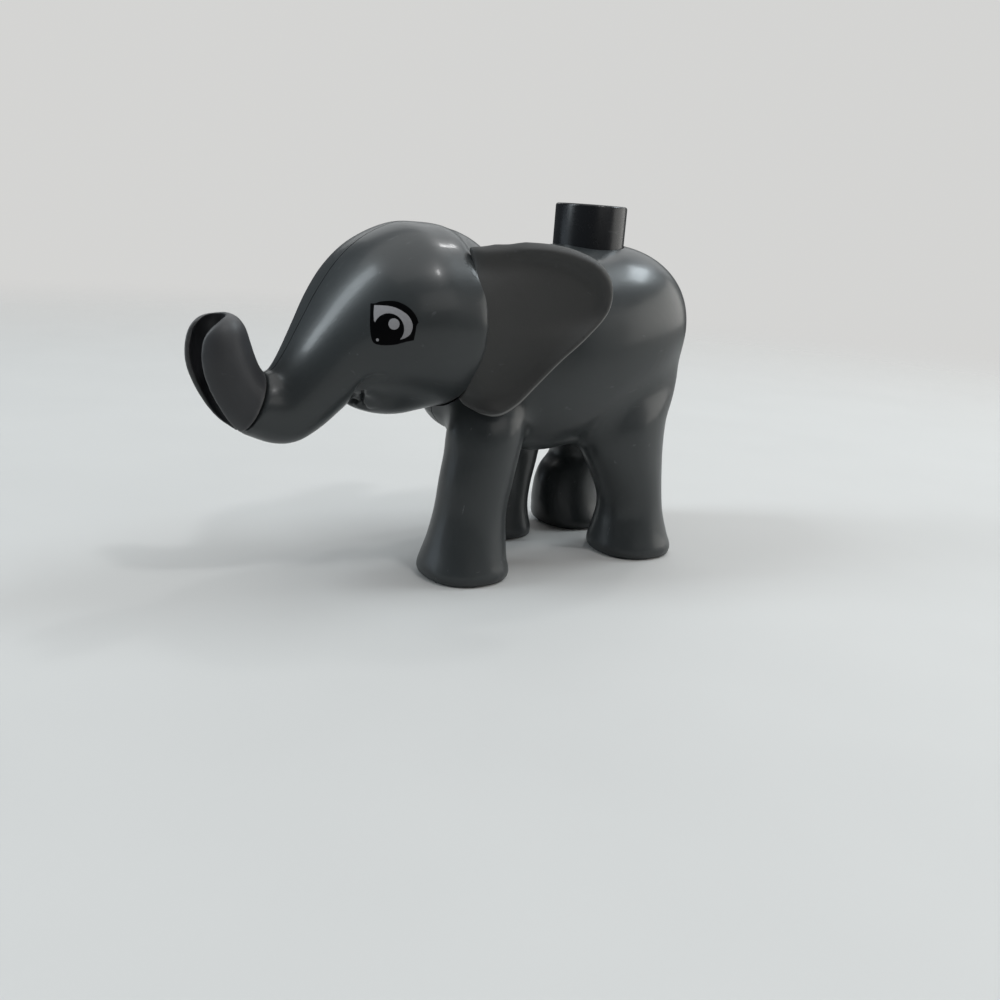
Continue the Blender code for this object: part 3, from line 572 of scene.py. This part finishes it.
FLANGE_TOP, FLANGE_R, SHANK_R = BODY_TOP - 3.5, 5.9, 3.6
STUD_PROFILE = (
    (FLANGE_TOP - 6.9, SHANK_R), (FLANGE_TOP - 1.41, SHANK_R), (FLANGE_TOP - 1.4, FLANGE_R),
    (FLANGE_TOP - 0.01, FLANGE_R), (FLANGE_TOP, STUD_R), (STUD_TOP - 0.32, STUD_R),
    (STUD_TOP - 0.21, STUD_R - 0.03), (STUD_TOP - 0.10, STUD_R - 0.10),
    (STUD_TOP - 0.03, STUD_R - 0.20), (STUD_TOP, STUD_R - 0.32),
)
stud = turned_piece((STUD_X, 0, 0), STUD_PROFILE, 128, stud_plastic)
dressed("back_stud_moulding", smooth_shaded(stud, 50), stud_plastic, "torso", "stud", "back_stud")

# Neck: a pale nylon link and the smooth nylon pin that it nods on, both out of sight inside
# the shells. The CAD's own solids stay, with a moulded nylon finish.
nylon = plastic("inner_nylon", (0.22, 0.23, 0.24), 0.45, 0.05, 0.2, 0.0)
for name in ("neck_link", "neck_pin"):
    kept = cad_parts[name]
    kept.data.materials.clear()
    kept.data.materials.append(nylon)

# Head: two half shells split down the forehead and trunk, in the same satin plastic. The
# cheeks stand proud of the nape, the lower lip is a small chin under a smiling crease.
FACE = (
    (0.135, 0.993, 0.135, -0.993, 1.11),
    (-0.09, 1.0, -0.09, -0.995, 1.12),
    (-0.405, 0.982, -0.315, -0.946, 1.10),
    (-0.766, 0.82, -0.568, -0.883, 1.01),
    (-1.036, 0.586, -0.757, -0.847, 0.885),
    (-1.252, 0.288, -0.92, -0.85, 0.74),
    (-1.432, -0.036, -1.09, -1.015, 0.605),
    (-1.595, -0.342, -1.275, -1.18, 0.50),
    (-1.712, -0.523, -1.505, -1.311, 0.42),
    (-1.775, -0.568, -1.757, -1.315, 0.37),
    (-1.838, -0.577, -2.09, -1.189, 0.335),
)
TRUNK_SEAM = 0.22
CHEEK_BOW = 0.65
STEP_X = HEAD_R * 0.135
HEAD_CELL = 0.28
MOUTH_CORNER, MOUTH_REACH = (-14.4, -4.2, 22.4), 3.4
# Lines pressed into the cheeks round the mouth: how deep at each end, how wide, and the places
# in shares of the head's radius. A negative depth is a swelling.
MOUTH_LINES = (
    (0.75, 0.16, 0.50, ((-0.983, -0.349, -0.799), (-1.016, -0.405, -0.756),
                        (-1.012, -0.508, -0.686), (-0.985, -0.600, -0.608),
                        (-0.945, -0.653, -0.559), (-0.900, -0.689, -0.534),
                        (-0.839, -0.716, -0.531))),
    (-0.30, -0.14, 0.90, ((-0.848, -0.433, -0.746), (-0.737, -0.426, -0.815))),
    (0.50, 0.60, 0.18, ((-0.928, -0.471, -0.716), (-0.887, -0.360, -0.759),
                        (-0.849, -0.294, -0.815), (-0.802, -0.207, -0.876))),
    (1.05, 0.85, 0.45, ((-0.877, -0.094, -0.873), (-0.861, -0.158, -0.867),
                        (-0.832, -0.195, -0.866), (-0.802, -0.207, -0.876))),
    (0.25, 0.04, 0.38, ((-0.807, -0.195, -0.916), (-0.769, -0.215, -0.930),
                        (-0.735, -0.243, -0.942), (-0.707, -0.306, -0.941))),
)


def head_point(x_share, z_share):
    return np.array((HEAD_X + HEAD_R * x_share, HEAD_Z + HEAD_R * z_share))


SEAM_UPPER, SEAM_LOWER = head_point(*FACE[-1][0:2]), head_point(*FACE[-1][2:4])
SEAM_ARM = (SEAM_UPPER - SEAM_LOWER) / np.linalg.norm(SEAM_UPPER - SEAM_LOWER)
TRUNK_WAY = np.array((-SEAM_ARM[1], SEAM_ARM[0]))


def face_rings(inset, count, steps):
    rings = []
    for x1, z1, x2, z2, width in carried(FACE, steps):
        upper, lower = head_point(x1, z1), head_point(x2, z2)
        arm = (upper - lower) / np.linalg.norm(upper - lower) * inset
        half_width = HEAD_R * width - inset
        rings.append(upright_ring(upper - arm, lower + arm, half_width, count))
    return rings


def jaw_skin():
    place = head_point(-0.43, -0.82)
    length, width, height = HEAD_R * 0.53, HEAD_R * 0.52, HEAD_R * 0.25
    rings = []
    for turn in np.pi * np.arange(1, 40) / 40:
        x, reach = place[0] - length * math.cos(turn), height * math.sin(turn)
        rings.append(upright_ring((x, place[1] + reach), (x, place[1] - reach),
                                  width * math.sin(turn), 64))
    return skinned(rings)


# The cheeks' rear edge bows back at mid height
face = face_rings(0, 96, 8)
for turn, ring in enumerate(face[:16]):
    height = (ring[:, 2] - HEAD_Z) / HEAD_R
    bow = 1 - np.where(height > 0, 1.85, 1.15) * height**2
    ring[:, 0] += CHEEK_BOW * bow * (1 - turn / 16) ** 2
back_off = TRUNK_WAY * TRUNK_SEAM / 2
face[-1] = face[-1] - (back_off[0], 0, back_off[1])
skull_form = skinned(nape_rings(0, 96, 24, STEP_X) + face)
jaw_form = jaw_skin()
head_form = shaped(joined([skull_form, jaw_form]), [("REMESH", HEAD_CELL)])
head_points = points_of(head_form)
edge_away = np.array([np.linalg.norm(face[0] - point, axis=1).min() for point in head_points])
relaxed(head_form, np.clip(1.6 - edge_away / 1.2, 0, 1), 22)
behind_mouth = np.clip(((head_points[:, 0] - HEAD_X) / HEAD_R + 0.88) / 0.18, 0, 1)
relaxed(head_form, behind_mouth * joint_weight(head_form, [skull_form, jaw_form], 4.5), 150)
relaxed(head_form, 1.0, 3)


def nearest_on(points, path):
    """How far each point is from a path, and how far along the path, from 0 to 1, that is."""
    least = np.full(points.shape[:-1], 1e9)
    place = np.zeros(points.shape[:-1])
    for turn, (a, b) in enumerate(zip(path, path[1:])):
        way = b - a
        share = np.clip((points - a) @ way / max(way @ way, 1e-12), 0, 1)
        away = np.linalg.norm(points - a - share[..., None] * way, axis=-1)
        place = np.where(away < least, (turn + share) / (len(path) - 1), place)
        least = np.minimum(least, away)
    return least, place


def refined(mesh, spot, reach):
    """Finer faces near a spot and near its mirror image."""
    bm = bmesh.new()
    bm.from_mesh(mesh)
    near = {vert for vert in bm.verts
            if math.dist(spot, (vert.co.x, -abs(vert.co.y), vert.co.z)) < reach}
    edges = [edge for edge in bm.edges if near.issuperset(edge.verts)]
    bmesh.ops.subdivide_edges(bm, edges=edges, cuts=2, use_grid_fill=True)
    bm.to_mesh(mesh)
    bm.free()


def creased(mesh, lines):
    """Presses soft grooves into the mesh along lines, on both sides of the mid plane."""
    tree = tree_of(mesh)
    points = points_of(mesh)
    folded = points * (1, 0, 1)
    folded[:, 1] = -np.abs(points[:, 1])
    press = np.zeros(len(points))
    for start_depth, end_depth, width, shares in lines:
        spots = np.array((HEAD_X, 0, HEAD_Z)) + HEAD_R * np.array(shares)
        path = np.array([tree.find_nearest(Vector(spot))[0] for spot in carried(spots, 6)])
        away, place = nearest_on(folded, path)
        press += (start_depth + (end_depth - start_depth) * place) * np.exp(-(away / width) ** 2)
    put_points(mesh, points - normals_of(mesh) * press[:, None])


refined(head_form, MOUTH_CORNER, MOUTH_REACH)
creased(head_form, MOUTH_LINES)
relaxed(head_form, 1.0, 1)
head_tree = tree_of(head_form)


def across_neck(half_length, radius):
    """A round bar across the head on the axis of its nod."""
    ends = ((-half_length, radius), (half_length, radius))
    return turned((HEAD_X, 0, HEAD_Z), (0, 1, 0), ends)


pin_boss, pin_bore = across_neck(20, 3.1), across_neck(7.3, 1.6)
link_room = across_neck(LINK_HALF_WIDTH, 3.9)
head_hollow = shaped(skinned(nape_rings(-WALL, 40, 10, STEP_X) + face_rings(WALL, 40, 2)[2:-2]),
                     [("DIFFERENCE", pin_boss), ("UNION", link_room)])
neck_slot = block((HEAD_X + 3.0, -LINK_HALF_WIDTH, HEAD_Z - 5.0),
                  (HEAD_X + 15, LINK_HALF_WIDTH, HEAD_Z + 5.0))
for side, side_name in SIDES.items():
    cuts = [("DIFFERENCE", half_block(side, SEAM)), ("UNION", lap(head_form, side, LAP_DEPTH)),
            ("DIFFERENCE", head_hollow), ("DIFFERENCE", neck_slot), ("DIFFERENCE", pin_bore)]
    shell = smooth_shaded(shaped(head_form.copy(), cuts))
    name = "head_" + side_name + "_shell"
    dressed(name + "_hide", shell, hide, "head", "hide", name)

# Eyes: pad printed in black and pale grey ink on the cheeks, a film with almost no thickness.
# Each film is drawn flat and laid on the cheek along the print's own direction.
EYE_CENTRE = np.array((-14.47, -10.08, 31.59))
EYE_WAY = np.array((-0.527, -0.849, 0.047))
EYE_RIGHT = np.array((0.85, -0.527, 0.0))
EYE_UP = np.cross(EYE_WAY, EYE_RIGHT)
RIM = (
    (-2.49, 2.11), (-1.99, 2.15), (-1.46, 2.37), (-0.59, 2.52), (0.29, 2.53), (1.18, 2.27),
    (1.96, 1.79), (2.54, 1.13), (2.85, 0.45), (2.65, 0.12), (2.56, -0.70), (2.43, -1.50),
    (1.49, -1.76), (0.52, -2.09), (-0.46, -2.24), (-1.33, -2.25), (-1.94, -2.04),
    (-2.24, -1.35), (-2.40, -0.18), (-2.44, 0.99),
)
WHITE = (
    (-2.06, 1.95), (-1.32, 1.99), (-0.44, 1.98), (0.33, 1.84), (1.00, 1.57), (1.62, 1.18),
    (2.03, 0.67), (2.24, 0.09), (2.17, -0.51), (1.94, -0.96), (1.47, -1.32), (0.99, -1.51),
    (0.2, -1.2), (-0.8, -0.9), (-1.5, -0.2), (-1.99, 0.30), (-2.06, 1.13),
)
EYE_HARD_CORNERS = {"rim": (0, 8, 11), "white": (0, 11, 15)}


def ink(name, colour, roughness):
    made = bpy.data.materials.new(name)
    made.use_nodes = True
    tree = made.node_tree
    shader = tree.nodes["Principled BSDF"]
    place = Shade(tree).node("ShaderNodeTexCoord", out=3)
    dots = place.noise(4200.0, 2.0, 0.7)
    thin = tuple(c * 0.86 for c in colour) + (1,)
    thick = tuple(min(1, c * 1.1) for c in colour) + (1,)
    dots.blended(thin, thick).feeds(shader, "Base Color")
    rough = roughness + (dots - 0.5) * 0.15
    rough.feeds(shader, "Roughness")
    shader.inputs["Specular IOR Level"].default_value = 0.05
    return made


def rounded_outline(corners, hard, steps=6):
    """A closed outline through the corners, smooth except at the hard ones."""
    count = len(corners)
    out = []
    starts = sorted(hard)
    for first, last in zip(starts, starts[1:] + [starts[0] + count]):
        run = [corners[i % count] for i in range(first, last + 1)]
        out += [tuple(p) for p in carried(run, steps)[:-1]]
    return out


def circle(u, v, radius, count=72):
    turns = 2 * np.pi * np.arange(count) / count
    return [(u + radius * math.cos(t), v + radius * math.sin(t)) for t in turns]


def film(outline, side, height, rows=10):
    """A thin closed film over a star shaped outline, laid on the cheek."""
    outline = np.array(outline)
    middle = outline.mean(0)
    layers = []
    for lift, scales in ((height, np.linspace(0.04, 1, rows)), (-0.05, np.linspace(1, 0.04, rows))):
        for scale in scales:
            ring = []
            for u, v in middle + (outline - middle) * scale:
                spot = EYE_CENTRE + EYE_RIGHT * u + EYE_UP * v
                start = Vector(spot + EYE_WAY * 6)
                hit, normal, _, _ = head_tree.ray_cast(start, Vector(-EYE_WAY))
                laid = hit + normal * lift
                ring.append((laid.x, -side * laid.y, laid.z))
            layers.append(ring)
    return skinned(layers)


black_ink = ink("black_ink", (0.002, 0.002, 0.0025), 0.5)
grey_ink = ink("pale_ink", (0.36, 0.355, 0.37), 0.48)
for side, side_name in SIDES.items():
    rim = film(rounded_outline(RIM, EYE_HARD_CORNERS["rim"]), side, 0.030)
    pupil = film(circle(-0.31, -0.42, 1.64), side, 0.060)
    white = film(rounded_outline(WHITE, EYE_HARD_CORNERS["white"]), side, 0.045)
    glint = film(circle(0.21, 0.12, 0.60, 48), side, 0.075, 4)
    fleck = film(circle(-1.51, -1.71, 0.16, 16), side, 0.075, 2)
    black = smooth_shaded(joined([rim, pupil]), 60)
    pale = smooth_shaded(joined([white, glint, fleck]), 60)
    dressed(side_name + "_eye_black_print", black, black_ink, "head", None)
    dressed(side_name + "_eye_pale_print", pale, grey_ink, "head", None)

# Ears: soft matte rubbery plates, one each side, dished, thick and round along the top and
# with a fine bead round the free edge. Their roots tuck in behind the cheeks.
EAR_HALF, EAR_DISH = 0.62, 0.8
EAR_ROWS, EAR_COLUMNS, EAR_CELL = 130, 90, 0.15
EAR_CORNER, EAR_CORNER_REACH = (HEAD_X + 2.6, 9.2, 40.7), 2.2
ROLL_RISE, ROLL_WIDTH, ROLL_PLACE = 0.8, 0.9, 1.1
BEAD_RISE, BEAD_WIDTH, BEAD_PLACE = 0.16, 0.22, 0.4
# Where the ear leaves the nape: shares along X and Z, and how far its sheet stands off the ball
EAR_ROOT = (
    (0.07, 0.81, 0.92), (0.07, 0.71, 0.92), (0.06, 0.59, 0.92), (0.03, 0.44, 0.92),
    (0.02, 0.30, 0.92), (0.02, 0.15, 0.92), (0.02, 0.0, 0.92), (0.02, -0.14, 0.92),
    (0.02, -0.28, 0.92), (0.04, -0.42, 0.85), (0.08, -0.54, 0.75), (0.12, -0.64, 0.65),
    (0.16, -0.73, 0.50), (0.19, -0.80, 0.40),
)
EAR_EDGE = (
    (0.26, 0.836, 0.92), (0.55, 0.883, 1.03), (0.82, 0.887, 1.12), (1.09, 0.846, 1.21),
    (1.34, 0.73, 1.32), (1.50, 0.51, 1.375), (1.475, 0.213, 1.375), (1.215, -0.065, 1.37),
    (0.95, -0.325, 1.30), (0.74, -0.575, 1.22), (0.53, -0.795, 1.175), (0.35, -0.912, 1.11),
    (0.245, -0.925, 0.93), (0.20, -0.872, 0.66),
)
# Its marked edges take a strong painted highlight
soft = plastic("soft_grey_plastic", (0.051, 0.051, 0.05), 0.55, 0.14, 0.2, 0.1, 0.4, 0.8)


def ear_root(x_share, z_share, lift):
    reach = HEAD_R * math.hypot(x_share, z_share) / (NAPE_R + lift)
    y = (NAPE_HALF_WIDTH + lift) * math.sqrt(1 - reach**2)
    return HEAD_X + HEAD_R * x_share, y, HEAD_Z + HEAD_R * z_share


def ear_skin(side):
    roots = [ear_root(*row) for row in EAR_ROOT]
    edges = [(HEAD_X + HEAD_R * x, HEAD_R * y, HEAD_Z + HEAD_R * z) for x, z, y in EAR_EDGE]
    given = carried([np.concatenate(pair) for pair in zip(roots, edges)], 10)
    # Rows and columns stand closer together near the free edges
    wave = math.pi / 2 * 0.96
    spots = 0.5 + 0.5 * np.sin(np.linspace(-wave, wave, EAR_ROWS)) / math.sin(wave)
    lines = np.column_stack([
        np.interp(spots * (len(given) - 1), np.arange(len(given)), given[:, k]) for k in range(6)
    ])
    blends = np.sin(np.linspace(0, wave, EAR_COLUMNS)) / math.sin(wave)
    rows, columns = len(lines), len(blends)
    sheet = lines[:, None, :3] + (lines[:, None, 3:] - lines[:, None, :3]) * blends[None, :, None]
    hollow = np.sin(math.pi * spots)[:, None] ** 0.8 * np.sin(math.pi * blends**1.2)[None]
    sheet[..., 1] -= EAR_DISH * hollow
    normal = np.cross(np.gradient(sheet, axis=1), np.gradient(sheet, axis=0))
    # The corners' own directions are poor, so each is drawn from a wide patch of the sheet
    for _ in range(120):
        wide = np.pad(normal, ((1, 1), (1, 1), (0, 0)), mode="edge")
        normal = (wide[:-2, 1:-1] + wide[2:, 1:-1] + wide[1:-1, :-2] + wide[1:-1, 2:]) / 4
    normal /= np.linalg.norm(normal, axis=2, keepdims=True)
    if normal[rows // 2, columns // 2, 1] < 0:
        normal = -normal
    # How far each point is from the free edge, and where along that edge its nearest spot is
    border = np.concatenate([sheet[0, :-1], sheet[:, -1], sheet[-1, -2::-1]])
    along = np.concatenate([np.zeros(columns - 1), spots, np.ones(columns - 1)])
    away, place = nearest_on(sheet, border)
    place = np.interp(place * (len(border) - 1), np.arange(len(border)), along)
    roll = np.clip((0.50 - place) / 0.2, 0, 1)
    roll = roll * roll * (3 - 2 * roll)
    bead = (1 - roll) * np.clip((0.96 - place) / 0.12, 0, 1)
    edge_half = EAR_HALF + 0.25 * roll
    round_off = np.sqrt(np.clip(1 - (1 - np.clip(away / edge_half, 0, 1)) ** 2, 0, 1))
    raised = roll * ROLL_RISE * np.exp(-((away - ROLL_PLACE) / ROLL_WIDTH) ** 2)
    raised += bead * BEAD_RISE * np.exp(-((away - BEAD_PLACE) / BEAD_WIDTH) ** 2)
    thin = 0.24 * np.clip((away - 0.7) / 1.2, 0, 1)
    raised = raised * np.clip(away / 0.3, 0, 1) - thin
    outer = sheet + normal * (EAR_HALF * round_off + raised)[..., None]
    inner = sheet - normal * (EAR_HALF * round_off)[..., None]
    bm = bmesh.new()
    grids = []
    for grid in (outer, inner):
        verts = [[bm.verts.new((p[0], side * p[1], p[2])) for p in line] for line in grid]
        grids.append(verts)
        for upper, lower in zip(verts, verts[1:]):
            for i in range(columns - 1):
                bm.faces.new((upper[i], upper[i + 1], lower[i + 1], lower[i]))
    top, bottom = grids
    rim = [(0, i) for i in range(columns)] + [(r, columns - 1) for r in range(1, rows)]
    rim += [(rows - 1, i) for i in range(columns - 2, -1, -1)]
    rim += [(r, 0) for r in range(rows - 2, 0, -1)]
    for (r1, c1), (r2, c2) in zip(rim, rim[1:] + rim[:1]):
        bm.faces.new((top[r1][c1], top[r2][c2], bottom[r2][c2], bottom[r1][c1]))
    bmesh.ops.remove_doubles(bm, verts=bm.verts, dist=0.002)
    bmesh.ops.recalc_face_normals(bm, faces=bm.faces)
    mesh = bpy.data.meshes.new("ear")
    bm.to_mesh(mesh)
    bm.free()
    solid = shaped(mesh, [("REMESH", EAR_CELL)])
    rise = (points_of(solid)[:, 2] - HEAD_Z) / HEAD_R
    relaxed(solid, np.clip((rise - 0.25) / 0.2, 0.12, 1), 40)
    # The upper corner by the cheek is softer than the rest of the edge
    corner_away = np.linalg.norm(points_of(solid) * (1, side, 1) - EAR_CORNER, axis=1)
    relaxed(solid, np.clip(2 - corner_away / EAR_CORNER_REACH, 0, 1), 140)
    # A painted highlight: a paler line along the free edge, a little in from it
    away, place = nearest_on(points_of(solid) * (1, side, 1), border[::3])
    place = np.interp(place * (len(border) - 1), np.arange(len(border)), along)
    line = np.clip((place - 0.3) / 0.1, 0, 1) * np.clip((0.97 - place) / 0.1, 0, 1)
    rim_highlight = solid.attributes.new("edge", "FLOAT", "POINT")
    rim_highlight.data.foreach_set("value", line * np.clip(1.5 - np.abs(away - 0.3) / 0.16, 0, 1))
    return solid


for side, side_name in SIDES.items():
    dressed(side_name + "_ear_flap", smooth_shaded(ear_skin(side), 60), soft, "head", "soft",
            side_name + "_ear")

# Trunk tip: a soft hollow pod that grips like a clip, plugged into the end of the trunk. It is
# open down its front and over its top, and its thin lips part widest at the middle.
TIP = (
    (-1.838, -0.577, -2.09, -1.189, 0.335),
    (-1.901, -0.495, -2.315, -1.027, 0.342),
    (-1.955, -0.369, -2.505, -0.757, 0.347),
    (-2.0, -0.234, -2.613, -0.468, 0.342),
    (-2.045, -0.108, -2.595, -0.198, 0.306),
    (-2.115, -0.018, -2.50, -0.045, 0.22),
    (-2.20, 0.022, -2.40, 0.018, 0.12),
)
# At each of those sections: how far round from the front the mouth opens on the left and on the
# right, in degrees, how much of the inside is hollow, and the wall left at the back
MOUTH = (
    (5, 2, 0.03, 1.7), (29, 12, 0.35, 1.7), (36, 16, 0.9, 1.7), (41, 19, 1.0, 1.7),
    (48, 23, 1.0, 1.6), (84, 34, 1.0, 1.2), (158, 150, 1.0, 0.5),
)
LIP_WALL, TIP_CELL = 0.62, 0.12
# Its sharp rims take a painted highlight
soft_tip = plastic("soft_tip_plastic", (0.034, 0.035, 0.039), 0.47, 0.14, 0.2, 0.1, 0.45, 0.9)


def upright_arc(upper, lower, half_width, turns):
    line = (upper + lower) / 2 + (upper - lower) / 2 * np.cos(turns)[:, None]
    return np.column_stack([line[:, 0], half_width * np.sin(turns), line[:, 1]])


def edge_highlight_marked(mesh, sharp):
    """Stores how sharply the mesh turns outwards at each point, for a painted highlight line on its
    edges.
    """
    flat = mesh.copy()
    relaxed(flat, 1.0, 3)
    bend = np.sum((points_of(mesh) - points_of(flat)) * normals_of(mesh), axis=1) / sharp
    marks = mesh.attributes.new("edge", "FLOAT", "POINT")
    marks.data.foreach_set("value", np.clip(bend, 0, 1))
    return mesh


def tip_skin():
    """An open C of lips in each section, from the trunk's seam to the top."""
    rings = []
    for x1, z1, x2, z2, width, left, right, hollow, back in carried(np.column_stack([TIP, MOUTH]), 8):
        upper, lower = head_point(x1, z1), head_point(x2, z2)
        way = (lower - upper) / np.linalg.norm(lower - upper)
        turns = np.radians(np.linspace(-(180 - left), 180 - right, 61))
        outer = upright_arc(upper, lower, HEAD_R * width, turns)
        back = min(back, np.linalg.norm(lower - upper) / 3)
        inner = upright_arc(upper + way * back, lower - way * LIP_WALL,
                            HEAD_R * width - LIP_WALL, turns)
        share = np.linspace(0, 1, len(turns))[:, None]
        chord = outer[0] + (outer[-1] - outer[0]) * share
        inner = chord + (inner - chord) * hollow
        rings.append(np.concatenate([outer, inner[::-1]]))
    ahead = TRUNK_WAY * TRUNK_SEAM / 2
    rings[0] = rings[0] + (ahead[0], 0, ahead[1])
    return skinned([ring + (0.05, 0, 0) for ring in rings])


tip_form = shaped(tip_skin(), [("REMESH", TIP_CELL)])
relaxed(tip_form, 1.0, 10)
edge_highlight_marked(tip_form, 0.035)
dressed("trunk_tip_pod", smooth_shaded(tip_form, 60), soft_tip, "head", "soft", "trunk_tip")

# Stage: a plain pale table, which fades into a pale background, soft window light and a camera
# at the photograph's angle.
stage_mesh = bpy.data.meshes.new("table")
corners = [(-3, -3, 0), (3, -3, 0), (3, 3, 0), (-3, 3, 0)]
stage_mesh.from_pydata(corners, [], [(0, 1, 2, 3)])
paper = bpy.data.materials.new("pale_table")
paper.use_nodes = True
paper_shader = paper.node_tree.nodes["Principled BSDF"]
on_table = Shade(paper.node_tree).node("ShaderNodeTexCoord", out=3)
fibre = on_table.noise(40.0, 2.0, 0.5).blended((0.60, 0.598, 0.588, 1), (0.635, 0.633, 0.622, 1))
to_camera = on_table.node("ShaderNodeLightPath", out=0)
to_camera.blended((0.48, 0.48, 0.47, 1), fibre).feeds(paper_shader, "Base Color")
from_middle = on_table.node("ShaderNodeVectorMath", {"operation": "LENGTH"}, {0: on_table}, 1)
fade = on_table.node("ShaderNodeMapRange", {"interpolation_type": "SMOOTHSTEP"},
                     {"Value": from_middle, "From Min": 0.13, "From Max": 0.42,
                      "To Min": 1.0, "To Max": 0.0})
fade.feeds(paper_shader, "Alpha")
paper_shader.inputs["Roughness"].default_value = 0.7
stage_mesh.materials.append(paper)
placed("table", stage_mesh)


def area_light(name, place, target, size, power, colour):
    lamp = bpy.data.lights.new(name, "AREA")
    lamp.shape = "RECTANGLE"
    lamp.size, lamp.size_y = size
    lamp.energy = power
    lamp.color = colour
    holder = placed(name, lamp)
    place, target = Vector(place), Vector(target)
    holder.location = place
    holder.rotation_euler = (target - place).to_track_quat("-Z", "Y").to_euler()
    holder.visible_camera = False


MIDDLE = (0, 0, 0.025)
area_light("tall_window", (-0.43, 0.16, 0.36), MIDDLE, (0.14, 0.42), 1.6, (0.86, 0.95, 1.0))
area_light("rear_window", (0.41, -0.05, 0.45), MIDDLE, (0.22, 0.10), 1.0, (0.86, 0.95, 1.0))
area_light("soft_fill", (0.10, -0.62, 0.36), MIDDLE, (0.5, 0.3), 0.45, (1.0, 0.99, 0.97))
area_light("ceiling", (0.0, 0.05, 0.75), MIDDLE, (0.9, 0.9), 2.3, (0.99, 0.99, 0.98))
area_light("side_wall", (0.50, -0.16, 0.15), MIDDLE, (0.6, 0.28), 0.95, (1.0, 0.99, 0.95))
area_light("back_wall", (0.34, 0.44, 0.37), MIDDLE, (0.8, 0.35), 0.85, (0.98, 1.0, 1.0))
area_light("low_window", (-0.42, 0.28, 0.06), MIDDLE, (0.3, 0.12), 0.12, (0.75, 0.88, 1.0))
area_light("spot_one", (0.25, 0.13, 0.45), MIDDLE, (0.03, 0.03), 0.16, (1.0, 1.0, 1.0))
area_light("spot_two", (0.08, -0.24, 0.50), MIDDLE, (0.05, 0.05), 0.4, (1.0, 1.0, 1.0))

# The camera sees a pale background; the piece is lit and mirrored by a darker room
world = bpy.data.worlds.new("studio")
world.use_nodes = True
bpy.context.scene.world = world
background = world.node_tree.nodes["Background"]
backdrop_seen = Shade(world.node_tree).node("ShaderNodeLightPath", out=0)
room = backdrop_seen.blended((0.06, 0.063, 0.067, 1), (0.66, 0.66, 0.65, 1))
room.feeds(background, "Color")
background.inputs["Strength"].default_value = 1.0

bpy.context.scene.view_settings.view_transform = "Standard"
yaw, pitch, roll, focal = math.radians(-34.5), math.radians(15.8), math.radians(4.3), 1003.0
camera_spot = np.array([-66.0, -108.3, 43.9]) * 0.001
look = np.array((-math.sin(yaw) * math.cos(pitch), math.cos(yaw) * math.cos(pitch),
                 -math.sin(pitch)))
level = np.array((math.cos(yaw), math.sin(yaw), 0.0))
upright = np.cross(level, look)
right = level * math.cos(roll) + upright * math.sin(roll)
top = -level * math.sin(roll) + upright * math.cos(roll)
lens = bpy.data.cameras.new("camera")
lens.sensor_width = 36
lens.lens = focal / 1000 * 36
lens.clip_start = 0.001
camera = placed("camera", lens)
turn_rows = zip(right, top, -look)
camera.matrix_world = Matrix([(*row, place) for row, place in zip(turn_rows, camera_spot)]
                             + [(0, 0, 0, 1)])
bpy.context.scene.camera = camera

bpy.context.view_layer.update()
